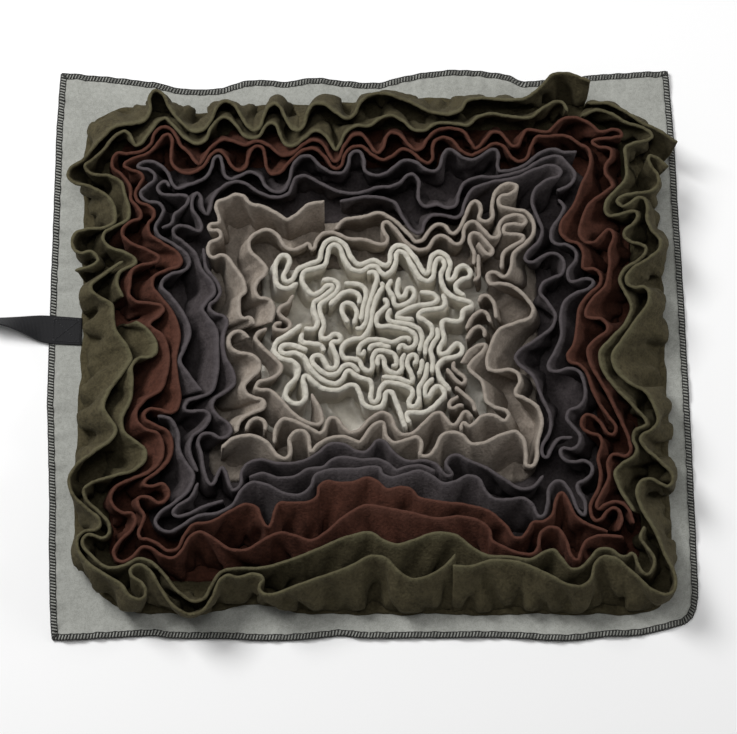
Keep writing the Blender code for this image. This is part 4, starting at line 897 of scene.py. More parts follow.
class SolidOutline:
    """Reads the edge lines of a flat-topped solid of the frame."""

    def __init__(self, node: str) -> None:
        """Merges the solid's corners that share a place.

        Args:
            node: name of the solid.
        """
        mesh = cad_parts[node].data
        mesh.calc_loop_triangles()
        points = np.array([v.co[:] for v in mesh.vertices])
        rounded = np.round(points, 6)
        _, first, place = np.unique(rounded, axis=0, return_index=True, return_inverse=True)
        self.points = points[first]
        corners = np.array([t.vertices[:] for t in mesh.loop_triangles])
        self.triangles = place.reshape(-1)[corners]

    def loop(self, above: float, below: float) -> np.ndarray:
        """The edge line of the faces whose corners all lie between two heights.

        Args:
            above: the lower height.
            below: the upper height.

        Returns:
            The corners along the line, in order.
        """
        heights = self.points[:, 2]
        chosen = (heights > above) & (heights < below)
        faces = self.triangles[chosen[self.triangles].all(1)]
        sides = np.vstack([faces[:, [0, 1]], faces[:, [1, 2]], faces[:, [2, 0]]])
        keys, counts = np.unique(np.sort(sides, axis=1), axis=0, return_counts=True)
        edge = {tuple(key) for key in keys[counts == 1]}
        ahead = {int(a): int(b) for a, b in sides if tuple(sorted((a, b))) in edge}
        start = next(iter(ahead))
        line, now = [start], ahead[start]
        while now != start:
            line.append(now)
            now = ahead[now]
        return self.points[line]


@dataclass
class FrillLines:
    """The middle lines of one frill at its foot and at its rim, section by section.

    Attributes:
        foot: points along the foot.
        rim: points along the rim.
        foot_heights: heights between which the foot of a solid lies.
        rim_heights: heights between which its rim lies.
    """

    foot: np.ndarray
    rim: np.ndarray
    foot_heights: ClassVar[tuple[float, float]] = (-0.001, 0.012)
    rim_heights: ClassVar[tuple[float, float]] = (0.025, 0.1)

    @classmethod
    def of_solid(cls, node: str) -> FrillLines:
        """Reads both lines off a frill's solid.

        Args:
            node: name of the solid.

        Returns:
            The lines, with the same number of sections.
        """
        outline = SolidOutline(node)
        foot = cls._middle(outline.loop(*cls.foot_heights))
        rim = cls._middle(outline.loop(*cls.rim_heights))
        same = np.linalg.norm(foot[0] - rim[0]) + np.linalg.norm(foot[-1] - rim[-1])
        turned = np.linalg.norm(foot[-1] - rim[0]) + np.linalg.norm(foot[0] - rim[-1])
        if turned < same:
            foot = foot[::-1]
        if len(foot) != len(rim):
            LOG.warning("%s: %d sections at the foot, %d at the rim", node, len(foot), len(rim))
            share, old = np.linspace(0, 1, len(rim)), np.linspace(0, 1, len(foot))
            foot = np.stack([np.interp(share, old, foot[:, i]) for i in range(3)], 1)
        return cls(foot, rim)

    @staticmethod
    def _middle(loop: np.ndarray) -> np.ndarray:
        """Halves the edge line of a ribbon into its two sides and takes the line between them.

        Args:
            loop: the ribbon's edge line.

        Returns:
            The middle line.
        """
        half = len(loop) // 2
        best, chosen = math.inf, None
        for start in range(half):
            turned = np.roll(loop, -start, axis=0)
            left, right = turned[:half], turned[half:][::-1]
            cost = float(np.linalg.norm(left - right, axis=1).sum())
            if cost < best:
                best, chosen = cost, (left + right) / 2
        return chosen

    def lapped(self, length: float, behind: float) -> FrillLines:
        """The same lines with the nearer end drawn on behind the next strip.

        Args:
            length: how far the end is drawn on.
            behind: how far it lies behind the next strip.

        Returns:
            The longer lines.
        """
        longer = []
        for line in (self.foot, self.rim):
            if self.rim[0, 1] > self.rim[-1, 1]:
                line = line[::-1]
            end = line[0] + unit(line[0] - line[1]) * length + np.array([0.0, behind, 0.0])
            longer.append(np.vstack([end, line]))
        return FrillLines(*longer)

    def fine(self, step: float) -> FrillLines:
        """The same lines, smooth and closely sampled.

        Args:
            step: the longest step along the rim, in metres.

        Returns:
            The finer lines.
        """
        steps = [np.linalg.norm(np.diff(line, axis=0), axis=1) for line in (self.rim, self.foot)]
        longest = np.maximum(np.maximum(*steps), 1e-5)
        marks = np.concatenate([[0], np.cumsum(longest)])
        wanted = [
            np.linspace(low, high, max(2, math.ceil((high - low) / step) + 1))[:-1]
            for low, high in zip(marks[:-1], marks[1:])
        ]
        wanted = np.concatenate([*wanted, marks[-1:]])
        return FrillLines(through(self.foot, marks, wanted), through(self.rim, marks, wanted))

    def length(self) -> float:
        """Length of the longer of the two lines."""
        lines = (self.rim, self.foot)
        return max(float(np.linalg.norm(np.diff(line, axis=0), axis=1).sum()) for line in lines)

    def area(self) -> float:
        """Area of the cloth between the two lines."""
        foot, rim = np.diff(self.foot, axis=0), np.diff(self.rim, axis=0)
        rise = self.rim - self.foot
        lower = np.linalg.norm(np.cross(foot, rise[:-1]), axis=1)
        upper = np.linalg.norm(np.cross(rim, rise[1:]), axis=1)
        return float((lower + upper).sum() / 2)

    def height(self) -> float:
        """Mean width of the standing cloth."""
        return float(np.linalg.norm(self.rim - self.foot, axis=1).mean())


def softened(values: np.ndarray, reach: float) -> np.ndarray:
    """Bell-weighted average along a line of evenly spaced values.

    Args:
        values: the values, one row a place.
        reach: width of the bell, in places.

    Returns:
        The averaged values.
    """
    size = math.ceil(3 * reach)
    weights = np.exp(-0.5 * (np.arange(-size, size + 1) / reach) ** 2)
    weights /= weights.sum()
    longer = np.pad(values, ((size, size), (0, 0)), mode="reflect", reflect_type="odd")
    return np.stack([np.convolve(longer[:, i], weights, "valid") for i in range(values.shape[1])], 1)


@dataclass(frozen=True)
class FleeceHabit:
    """How the cloth of one dye hangs. The names of its values are those of a frill.

    Attributes:
        thickness: thickness of the cloth.
        crease: depth of the slanting creases in the wall.
        pleat: depth of the gathers by the seam.
        freedom: how far its wall may stray into creases of its own, as a share.
    """

    thickness: float
    crease: float
    pleat: float
    freedom: float = 1.0


FLEECE_HABITS = {
    FleeceColour.OLIVE: FleeceHabit(thickness=0.0030, crease=0.0066, pleat=0.0085),
    FleeceColour.RUST: FleeceHabit(thickness=0.0030, crease=0.0060, pleat=0.0060),
    FleeceColour.SLATE: FleeceHabit(thickness=0.0031, crease=0.0042, pleat=0.0045),
    FleeceColour.TAUPE: FleeceHabit(thickness=0.0035, crease=0.0036, pleat=0.0030, freedom=0.35),
    FleeceColour.PALE: FleeceHabit(thickness=0.0043, crease=0.0034, pleat=0.0030, freedom=0.35),
}
OUTERMOST = "olive_outer"
OUTERMOST_HABIT = {"pleat": 0.0145, "pleat_stretch": 1.55, "belly": 0.0060, "outermost": True}
FRILL_HABITS = {
    "olive_outer_corner": {"swing": (0.0165, -0.0075)},
    "olive_outer_left": {"lap": 0.007},
}


@dataclass
class Frill:
    """One ruffled strip of fleece, sewn down along its foot.

    Attributes:
        node: the solid that it stands for.
        seed: what its unevenness comes from.
        thickness: thickness of the cloth.
        crease: depth of the slanting creases in the wall.
        pleat: depth of the gathers by the seam.
        freedom: how far its wall may stray into creases of its own, as a share.
        step: spacing of its sections.
        rim_swell: how much thicker the brushed rim is.
        foot_share: thickness at the seam, as a share.
        levels: heights of its sections' points, as shares.
        lean_power: how late the lean of the wall comes, from the seam up.
        fold_power: how early the folds of the wall come, from the seam up.
        fold_reach: length over which a bend of the rim counts as a fold.
        pleat_stretch: how much longer than usual the gathers are.
        belly: how far an inward leaning wall bulges away from the middle of the mat.
        height_waver: unevenness of the cut rim, in metres.
        end_round: length over which an end is rounded.
        lap: how far its nearer end runs on behind the next strip.
        outermost: whether it is drawn in to the seam that bounds the mat.
        swing: how far the lower corner of its right-hand end hangs free of the seam, along x and y.
        swing_reach: length of the end that hangs free.
        solid_lines: the lines of the solid, with the lap.
        run: distance of each section along the rim.
        centres: the middle of the cloth, as (section, level, coordinate).
        rim_waves: wavelengths of the cut rim.
        gather_waves: wavelengths of the gathers.
        gather_level: height at which the gathers are deepest, as a share.
        gather_spread: how far up and down they reach, as a share.
        crease_waves: wavelengths of the creases.
        crease_slant: how far a crease runs along the wall on its way up.
        crease_hump: skew and sharpness of a crease over the height of the wall.
        belly_waves: wavelengths of the bulging and the straight stretches.
        belly_lean: inward lean at which the wall bulges in full.
        belly_hump: skew and sharpness of the bulge over the height of the wall.
        seam_power: how soon above the seam the wall forgets that its row strays.
        nap_waves: wavelengths of the thickness.
        nap_waver: unevenness of the thickness, as a share.
        foot_fade: height at which the cloth has its full thickness, as a share.
        rim_start: height at which it starts to swell towards the rim, as a share.
        rim_fade: how far up it has swollen in full, as a share.
        rim_turns: where the points of the rounded rim lie on it, in degrees.
        end_thinning: how much of its square the thickness loses at an end.
        smoothing: reach of the slight smoothing of its directions, in sections.
    """

    node: str
    seed: int
    thickness: float
    crease: float
    pleat: float
    freedom: float
    step: float = 0.0021
    rim_swell: float = 0.08
    foot_share: float = 0.75
    levels: tuple[float, ...] = (0.0, 0.05, 0.12, 0.2, 0.3, 0.42, 0.55, 0.68, 0.8, 0.9, 0.965)
    lean_power: float = 1.15
    fold_power: float = 0.42
    fold_reach: float = 0.026
    pleat_stretch: float = 1.0
    belly: float = 0.0015
    height_waver: float = 0.0011
    end_round: float = 0.0016
    lap: float = 0.0
    outermost: bool = False
    swing: tuple[float, float] = (0.0, 0.0)
    swing_reach: float = 0.045
    solid_lines: FrillLines = field(init=False)
    run: np.ndarray = field(init=False)
    centres: np.ndarray = field(init=False)
    rim_waves: ClassVar[tuple[float, ...]] = (0.031, 0.017, 0.009)
    gather_waves: ClassVar[tuple[float, ...]] = (0.036, 0.0255, 0.0165)
    gather_level: ClassVar[float] = 0.22
    gather_spread: ClassVar[float] = 0.20
    crease_waves: ClassVar[tuple[float, ...]] = (0.052, 0.039, 0.0275)
    crease_slant: ClassVar[float] = 0.03
    crease_hump: ClassVar[tuple[float, float]] = (0.75, 1.1)
    belly_waves: ClassVar[tuple[float, ...]] = (0.094, 0.061, 0.043)
    belly_lean: ClassVar[float] = 0.016
    belly_hump: ClassVar[tuple[float, float]] = (0.8, 1.5)
    seam_power: ClassVar[float] = 1.6
    nap_waves: ClassVar[tuple[float, ...]] = (0.012, 0.0067, 0.0041)
    nap_waver: ClassVar[float] = 0.13
    foot_fade: ClassVar[float] = 0.3
    rim_start: ClassVar[float] = 0.8
    rim_fade: ClassVar[float] = 0.16
    rim_turns: ClassVar[tuple[float, ...]] = (25, 58, 90, 122, 155)
    end_thinning: ClassVar[float] = 0.75
    smoothing: ClassVar[float] = 3.0

    def __post_init__(self) -> None:
        """Reads the lines of the solid and lays the wall between them."""
        self.solid_lines = FrillLines.of_solid(self.node)
        if self.lap:
            self.solid_lines = self.solid_lines.lapped(self.lap, 1.1 * self.thickness)
        lines = self.solid_lines.fine(self.step)
        self.run = run_along(lines.rim)
        to_end = self.run[-1] - self.run if lines.rim[-1, 0] > lines.rim[0, 0] else self.run
        free = smoothstep(1 - to_end / self.swing_reach)
        lines.foot[:, :2] += free[:, None] * np.array(self.swing)
        lines.rim[:, 2] += self.height_waver * (Waver(self.seed, self.rim_waves).at(self.run) - 1.0)
        self.centres = self._wall(lines)

    @property
    def colour(self) -> FleeceColour:
        """The dye of this frill."""
        return FleeceColour(self.node.split("_")[0])

    def build(self, materials: Materials) -> bpy.types.Object:
        """Args:
            materials: where its material comes from.

        Returns:
            The piece.
        """
        finish = FLEECE_FINISHES[self.colour]
        rings = self._rings()
        mesh = new_mesh(rings, closed_faces(*rings.shape[:2]))
        piece = new_piece(self.node + "_frill", mesh, materials.fibre(finish))
        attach(piece, BODY)
        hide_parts(self.node)
        length, height = self.solid_lines.length(), self.solid_lines.height()
        area = min(length * height, self.solid_lines.area())
        return piece

    def _wall(self, lines: FrillLines) -> np.ndarray:
        """The middle of the cloth: the folds of the rim run down the wall into gathers at the seam.

        Args:
            lines: the foot and the rim.

        Returns:
            Points as (section, level, coordinate).
        """
        shares = np.array([*self.levels, 1.0])
        foot, rise = lines.foot[:, None], (lines.rim - lines.foot)[:, None]
        lean = rise[:, 0, :2]
        slow = softened(lean, self.fold_reach / self.step)
        flat = foot[..., :2] + slow[:, None] * (shares**self.lean_power)[None, :, None]
        flat = flat + (lean - slow)[:, None] * (shares**self.fold_power)[None, :, None]
        middle = softened(lines.rim[:, :2] + lines.foot[:, :2], self.smoothing)
        ahead = unit(np.gradient(middle, axis=0))
        aside = np.stack([-ahead[:, 1], ahead[:, 0]], 1)
        outward = (aside * lines.foot[:, :2]).sum(1, keepdims=True)
        outward = np.sign(softened(outward, self.smoothing))
        beyond = outward * (aside * slow).sum(1, keepdims=True)
        stray = self._strays(shares) + outward * self._bulge(shares, beyond)
        flat = flat + aside[:, None] * stray[..., None]
        if self.outermost:
            flat = self._drawn_in(flat, foot[..., :2], aside[:, None] * outward[..., None], shares)
        flat = flat + strayed(foot[..., :2]) * ((1 - shares) ** self.seam_power)[None, :, None]
        height = foot[..., 2] + rise[..., 2] * shares[None]
        return np.concatenate([flat, height[..., None]], 2)

    @staticmethod
    def _hump(shares: np.ndarray, skew: float, power: float) -> np.ndarray:
        """A hump over the height of the wall, which is 0 at the foot and at the rim."""
        return (np.sin(math.pi * shares**skew) ** power)[None]

    def _strays(self, shares: np.ndarray) -> np.ndarray:
        """Gathers by the seam and slanting creases above them.

        Args:
            shares: heights of the levels, as shares.

        Returns:
            How far they push the cloth aside, as (section, level).
        """
        gathers = Waver(self.seed + 13, self.gather_waves).at(self.run / self.pleat_stretch)[:, None]
        bell = np.exp(-(((shares - self.gather_level) / self.gather_spread) ** 2))
        gathers = gathers * self.pleat * bell[None]
        way = 1 if self.seed % 2 else -1
        slant = self.run[:, None] + self.crease_slant * (shares - 0.5)[None] * way
        creases = Waver(self.seed + 29, self.crease_waves).at(slant)
        creases = creases * self.crease * self._hump(shares, *self.crease_hump)
        return self.freedom * (gathers + creases)

    def _bulge(self, shares: np.ndarray, beyond: np.ndarray) -> np.ndarray:
        """Stretches in which a wall that leans inwards bulges out.

        Args:
            shares: heights of the levels, as shares.
            beyond: how far the rim lies outside the foot, section by section.

        Returns:
            How far the cloth bulges, as (section, level).
        """
        full = Waver(self.seed + 41, self.belly_waves).at(self.run)
        full = smoothstep(full * 0.9 + 0.5)[:, None] * smoothstep(-beyond / self.belly_lean)
        return self.belly * full * self._hump(shares, *self.belly_hump)

    @staticmethod
    def _drawn_in(
        flat: np.ndarray, foot: np.ndarray, outward: np.ndarray, shares: np.ndarray
    ) -> np.ndarray:
        """Keeps the wall from standing out beyond its seam and its rim.

        Args:
            flat: x and y of the wall's points, as (section, level, coordinate).
            foot: those of the foot.
            outward: the direction away from the middle of the mat.
            shares: heights of the levels, as shares.

        Returns:
            The points, drawn in.
        """
        soft, play, bulge = 0.0009, 0.0003, 0.010
        out = (outward * (flat - foot)).sum(-1)
        most = play + bulge * shares * (1 - shares) + np.clip(out[:, -1:], 0, None) * shares
        excess = (out + soft * np.logaddexp(-out / soft, -most / soft)) * (1 - shares**4)
        return flat - outward * excess[..., None]

    def _rings(self) -> np.ndarray:
        """The section of the cloth at each step.

        Returns:
            Points as (section, place in the section, coordinate).
        """
        shares = np.array(self.levels)
        sides = len(shares)
        along = unit(np.gradient(self.centres, axis=0))
        upward = unit(np.gradient(self.centres, axis=1))
        normal = unit(np.cross(along, upward))
        waver = Waver(self.seed + 71, self.nap_waves).at(self.run)
        half = self.thickness / 2 * self._end_share() * (1 + self.nap_waver * waver)
        profile = self.foot_share + (1 - self.foot_share) * smoothstep(shares / self.foot_fade)
        profile = profile + self.rim_swell * smoothstep((shares - self.rim_start) / self.rim_fade)
        width = half[:, None] * profile[None]
        left = self.centres[:, :sides] + normal[:, :sides] * width[..., None]
        right = self.centres[:, :sides] - normal[:, :sides] * width[..., None]
        tip, out = upward[:, -1], normal[:, -1]
        rim_half = half * (1 + self.rim_swell)
        base = self.centres[:, -1] - tip * rim_half[:, None]
        cap = [
            base + (out * math.cos(turn) + tip * math.sin(turn)) * rim_half[:, None]
            for turn in np.radians(self.rim_turns)
        ]
        return np.stack([*left.transpose(1, 0, 2), *cap, *right.transpose(1, 0, 2)[::-1]], 1)

    def _end_share(self) -> np.ndarray:
        """How the thickness falls off at both ends, as shares of the full thickness."""
        near = np.minimum(self.run, self.run[-1] - self.run)
        inside = np.clip(near / self.end_round, 0, 1)
        return np.sqrt(1 - (1 - inside) ** 2 * self.end_thinning)


@dataclass
class FrillPile:
    """All the frills together, their walls pushed apart where they stand too near.

    It compares middle lines at one level at a time, and stops after a set number of rounds. So it
    lessens the places where walls cut through each other or themselves, and does not clear them.

    Attributes:
        frills: the frills.
        reach: how far apart walls may be and still be watched.
        play: gap aimed at between two walls.
        rounds: how often they are pushed apart.
        share: share of the overlap that one round takes away.
        ease: reach of the smoothing of the pushes, in sections.
        own_reach: how far along a wall its own parts are neighbours, in thicknesses.
    """

    frills: list[Frill]
    reach: float = 0.0085
    play: float = 0.0002
    rounds: int = 14
    share: float = 0.7
    ease: float = 0.8
    own_reach: float = 3.4

    def settle(self) -> None:
        """Pushes the walls apart, level by level above the seam."""
        strip = np.concatenate([np.full(len(f.run), i) for i, f in enumerate(self.frills)])
        run = np.concatenate([f.run for f in self.frills])
        thick = np.concatenate([np.full(len(f.run), f.thickness) for f in self.frills])
        ends = np.cumsum([len(f.run) for f in self.frills])[:-1]
        worst = 0.0
        levels = len(self.frills[0].levels)
        for level in range(1, levels + 1):
            swell = 1 + self.frills[0].rim_swell * (level >= levels - 1)
            start = np.concatenate([f.centres[:, level, :2] for f in self.frills])
            one, other = self._pairs(start, strip, run, thick)
            need = (thick[one] + thick[other]) / 2 * swell + self.play
            shift = self._pushed(start, one, other, need, ends)
            worst = max(worst, float(np.linalg.norm(shift, axis=1).max()))
            for frill, part in zip(self.frills, np.split(shift, ends)):
                frill.centres[:, level, :2] += part
        LOG.info("walls moved by at most %.1f mm", worst * 1000)

    def _pushed(
        self, start: np.ndarray, one: np.ndarray, other: np.ndarray, need: np.ndarray, ends: np.ndarray
    ) -> np.ndarray:
        """Pushes the places of one level apart where a pair is too near, for the set rounds.

        Args:
            start: x and y of all places.
            one: number of the first place of each pair.
            other: number of the second.
            need: how far apart they have to be.
            ends: where each frill but the first starts.

        Returns:
            The shift of each place.
        """
        shift = np.zeros_like(start)
        for _ in range(self.rounds):
            apart = start[one] + shift[one] - start[other] - shift[other]
            gap = np.linalg.norm(apart, axis=1)
            lack = np.clip(need - gap, 0, None)
            push = apart / np.maximum(gap, 1e-6)[:, None] * (lack * self.share / 2)[:, None]
            moved, hits = np.zeros_like(start), np.zeros(len(start))
            for ids, sign in ((one, 1), (other, -1)):
                np.add.at(moved, ids, sign * push)
                np.add.at(hits, ids, lack > 0)
            shift += moved / np.maximum(hits, 1)[:, None]
            parts = np.split(shift, ends)
            shift = np.concatenate([softened(p, self.ease) if len(p) > 4 else p for p in parts])
        return shift

    def _pairs(
        self, points: np.ndarray, strip: np.ndarray, run: np.ndarray, thick: np.ndarray
    ) -> tuple[np.ndarray, np.ndarray]:
        """Places that face each other across a gap.

        Args:
            points: x and y of all places at one level.
            strip: number of the frill of each.
            run: its distance along the rim.
            thick: its thickness.

        Returns:
            Numbers of the first and of the second place of each pair.
        """
        tree = KDTree(len(points))
        for i, (x, y) in enumerate(points):
            tree.insert((x, y, 0.0), i)
        tree.balance()
        near = [
            (i, j)
            for i, (x, y) in enumerate(points)
            for _, j, _ in tree.find_range((x, y, 0.0), self.reach)
            if j > i
        ]
        one, other = np.array(near).T
        along = np.abs(run[one] - run[other])
        facing = (strip[one] != strip[other]) | (along > self.own_reach * thick[one])
        return one[facing], other[facing]


@dataclass
class FeltBase:
    """The flat felt sheet and the thread that binds its edge.

    Attributes:
        node: the solid that it stands for.
        thickness: thickness of the felt.
        underside: heights between which the underside of the solid lies.
        fill: share of its box that the felt fills.
        seam_box: x and y of the outermost seams, low x, low y, high x, high y.
        ripple: height of the ripples in the margin.
        ripple_reach: distance from the seam at which they are full.
        ripple_waves: their wavelengths.
        strap_place: y of the middle of the strap, which holds the felt down.
        strap_hold: distance from it within which ripples fade, and length over which they do.
        stitch_pitch: spacing of the overlock stitches.
        stitch_reach: how far a stitch reaches in from the edge.
        stitch_waves: wavelengths of that reach.
        thread: radius of the thread.
        edge_shrink: how much lower each of the outermost rings of the upper face lies.
        shares: how far out the rings of the sheet lie, as shares.
        outline: x and y of its edge, evenly spaced.
    """

    node: str = "base_felt"
    thickness: float = 0.002
    underside: tuple[float, float] = (-0.001, 0.0005)
    fill: float = 0.97
    seam_box: tuple[float, float, float, float] = (-0.281, -0.264, 0.291, 0.253)
    ripple: float = 0.0026
    ripple_reach: float = 0.022
    ripple_waves: tuple[float, ...] = (0.062, 0.041, 0.027, 0.016)
    strap_place: float = 0.014
    strap_hold: tuple[float, float] = (0.05, 0.03)
    stitch_pitch: float = 0.0030
    stitch_reach: float = 0.0050
    stitch_waves: tuple[float, ...] = (0.021, 0.013, 0.0057)
    thread: float = 0.00078
    edge_shrink: tuple[float, float] = (.0007, .0002)
    shares: tuple[float, ...] = (
        1.0, .9985, .996, .992, .986, .975, .96, .945, .93, .91, .88, .84, .72, .42, .1
    )
    outline: np.ndarray = field(init=False)

    def __post_init__(self) -> None:
        """Reads the outline of the base and spaces it evenly."""
        loop = SolidOutline(self.node).loop(*self.underside)[:, :2]
        loop = np.vstack([loop, loop[:1]])
        self.outline = evenly(loop, 2 * round(run_along(loop)[-1] / self.stitch_pitch))
        turn = np.roll(self.outline, -1, 0) - np.roll(self.outline, 1, 0)
        if (self.outline[:, 0] * turn[:, 1] - self.outline[:, 1] * turn[:, 0]).sum() < 0:
            self.outline = self.outline[::-1]

    def lift(self, points: np.ndarray) -> np.ndarray:
        """How far the felt stands off the floor.

        Args:
            points: x and y of the places.

        Returns:
            Heights of its underside.
        """
        x, y = points[..., 0], points[..., 1]
        low_x, low_y, high_x, high_y = self.seam_box
        out_x, out_y = np.maximum(low_x - x, x - high_x), np.maximum(low_y - y, y - high_y)
        weight = smoothstep(np.maximum(np.maximum(out_x, out_y), 0.0) / self.ripple_reach)
        reach, fade = self.strap_hold
        weight *= 1 - smoothstep((reach - np.abs(y - self.strap_place)) / fade) * (x < 0)
        along = np.where(out_x > out_y, y, x)
        wave = Waver(5, self.ripple_waves).at(along + 0.4 * (x > 0) + 0.7 * (y > 0))
        return self.ripple * weight * smoothstep(wave * 0.8 + 0.5)

    def build(self, materials: Materials) -> list[bpy.types.Object]:
        """Args:
            materials: where their materials come from.

        Returns:
            The pieces.
        """
        felt = new_piece("felt_sheet", self._sheet(), materials.fibre(FELT_FINISH))
        stitches = new_piece("edge_stitches", self._stitches(), materials.thread(EDGE_THREAD))
        for piece in (felt, stitches):
            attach(piece, BODY)
        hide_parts(self.node)
        return [felt, stitches]

    def _sheet(self) -> bpy.types.Mesh:
        """The felt, rippled in its margin.

        Returns:
            A closed mesh.
        """
        middle = self.outline.mean(0)
        shares = np.array(self.shares)
        rings = middle + (self.outline - middle)[None] * shares[:, None, None]
        lifts = self.lift(rings)
        rounding = np.zeros(len(shares))
        rounding[:len(self.edge_shrink)] = self.edge_shrink
        chamfer = np.where(shares > .999, .0005, 0.0)
        upper = np.concatenate([rings, (lifts + self.thickness - rounding[:, None])[..., None]], 2)
        lower = np.concatenate([rings, (lifts + chamfer[:, None])[..., None]], 2)
        rows = np.concatenate([lower[::-1], upper])
        return new_mesh(rows, closed_faces(len(rows), rows.shape[1]))

    def _stitches(self) -> bpy.types.Mesh:
        """The overlock thread: slanted stitches over the edge, tied along both of their ends.

        Returns:
            The mesh of all threads.
        """
        line = self.outline
        ahead = unit(np.roll(line, -2, 0) - np.roll(line, 2, 0))
        inward = np.stack([-ahead[:, 1], ahead[:, 0]], 1)
        waver = Waver(11, self.stitch_waves).at(np.arange(len(line)) * self.stitch_pitch / 2)
        inner = line + inward * (self.stitch_reach * (1 + 0.12 * waver))[:, None]
        top = self.thickness + self.thread * 0.7
        here, between, following = line[::2], np.roll(line, -1, 0)[::2], np.roll(line, -2, 0)[::2]
        knot, next_knot, inward = np.roll(inner, -1, 0)[::2], np.roll(inner, -3, 0)[::2], inward[::2]
        over = [
            (here - inward * 0.0002, 0.0006),
            (here - inward * 0.0004, self.thickness * 0.75),
            (here * 0.9 + knot * 0.1, top),
            (here * 0.5 + knot * 0.5, top + 0.0001),
            (knot, top - 0.0002),
        ]
        ties = [(place, top) for place in (knot, (knot + next_knot) / 2, next_knot)]
        outs = (here - inward * 0.0003, between - inward * 0.0006, following - inward * 0.0003)
        edge = [(place, self.thickness * 0.7) for place in outs]
        batches = ((over, 1.0), (ties, 0.4), (edge, 0.7))
        return thread_mesh([(self._laid(places), self.thread * share) for places, share in batches])

    def _laid(self, places: list[tuple[np.ndarray, float]]) -> np.ndarray:
        """Threads laid on the rippled felt.

        Args:
            places: x and y of all the threads at one place along them, with the height over the floor
                of the felt there, for each such place.

        Returns:
            Points as (thread, place along it, coordinate).
        """
        points = [np.concatenate([p, (self.lift(p) + height)[:, None]], 1) for p, height in places]
        return np.stack(points, 1)


@dataclass
class Strap:
    """The webbing strap: sewn flat on the margin, then turning on its edge as it leaves the mat.

    Attributes:
        node: the solid that it stands for.
        rows: x, then y and height of the near edge, then of the far edge, in millimetres.
        thickness: thickness of the webbing.
        stitch: length of a stitch.
        thread: radius of the thread.
        lie: height at which the underside of the sewn end lies.
        box: x and y of the corners of the sewn box.
        profile: place across the webbing and thickness there, both as shares, from edge to edge.
    """

    node: str = "strap"
    rows: tuple[tuple[float, float, float, float, float], ...] = (
        (-278, 0.6, 2.4, 28, 2.4),
        (-286, 1.0, 2.4, 28.6, 2.4),
        (-302, 1.8, 2.4, 29.8, 2.4),
        (-311, 2.6, 2.6, 30.4, 2.6),
        (-318, 4.2, 3.4, 30.6, 2.6),
        (-326, 7, 7, 30.2, 2.2),
        (-336, 10.8, 12, 29.4, 1.6),
        (-347, 14.4, 16.5, 28.6, 1.0),
        (-359, 17, 19, 28, 0.6),
        (-368, 18.2, 20, 27.8, 0.6),
    )
    thickness: float = 0.0016
    stitch: float = 0.0026
    thread: float = 0.00036
    lie: float = 0.0024
    box: tuple[tuple[float, float], ...] = (
        (-0.2805, 0.0035), (-0.2805, 0.0258), (-0.3055, 0.0275), (-0.3055, 0.0050)
    )
    profile: tuple[tuple[float, float], ...] = (
        (0.0, 0.45), (0.02, 0.8), (0.06, 0.95), (0.14, 1.0), (0.3, 1.03), (0.5, 1.05),
        (0.7, 1.03), (0.86, 1.0), (0.94, 0.95), (0.98, 0.8), (1.0, 0.45),
    )

    def build(self, materials: Materials) -> list[bpy.types.Object]:
        """Args:
            materials: where their materials come from.

        Returns:
            The pieces.
        """
        finish = WebbingFinish()
        tape = new_piece("strap_webbing", self._tape(), materials.webbing(finish))
        sewing = new_piece("strap_stitches", self._sewing(), materials.thread(STRAP_THREAD))
        for piece in (tape, sewing):
            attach(piece, BODY)
        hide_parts(self.node)
        return [tape, sewing]

    def _edges(self, step: float) -> tuple[np.ndarray, np.ndarray]:
        """Both selvedges of the underside, closely sampled.

        Args:
            step: longest step along them.

        Returns:
            Points of the near edge and of the far edge.
        """
        rows = np.array(self.rows) / 1000
        marks = np.concatenate([[0], np.cumsum(np.abs(np.diff(rows[:, 0])))])
        wanted = np.linspace(0, marks[-1], math.ceil(marks[-1] / step) + 1)
        fine = through(rows, marks, wanted)
        return fine[:, [0, 1, 2]], fine[:, [0, 3, 4]]

    def _tape(self) -> bpy.types.Mesh:
        """The webbing with rounded selvedges.

        Returns:
            A closed mesh.
        """
        near, far = self._edges(0.002)
        along = unit(np.gradient((near + far) / 2, axis=0))
        across = unit(far - near)
        normal = unit(np.cross(across, along))
        normal = np.where(normal[:, 2:] < 0, -normal, normal)
        shares, fullness = np.array(self.profile).T
        middle = near[:, None] + (far - near)[:, None] * shares[None, :, None]
        middle = middle + normal[:, None] * self.thickness / 2
        offset = normal[:, None] * (fullness * self.thickness / 2)[None, :, None]
        rings = np.concatenate([middle + offset, (middle - offset)[:, ::-1]], 1)[:, ::-1]
        return new_mesh(rings, closed_faces(*rings.shape[:2]))

    def _sewing(self) -> bpy.types.Mesh:
        """The sewn box and its cross.

        Returns:
            The mesh of the stitches.
        """
        height = self.lie + self.thickness + 0.0002
        sunk = np.array([-0.0004, 0.0001, 0.0001, -0.0004])
        corners = np.array(self.box)
        paths = []
        for start, end in ((0, 1), (1, 2), (2, 3), (3, 0), (0, 2), (1, 3)):
            way = corners[end] - corners[start]
            count = max(2, round(float(np.linalg.norm(way)) / self.stitch))
            for i in range(count):
                low, high = (i + 0.12) / count, (i + 0.88) / count
                shares = np.array([low, 0.75 * low + 0.25 * high, 0.25 * low + 0.75 * high, high])
                flat = corners[start] + way * shares[:, None]
                paths.append(np.concatenate([flat, (height + sunk)[:, None]], 1))
        return thread_mesh([(np.array(paths), self.thread)])


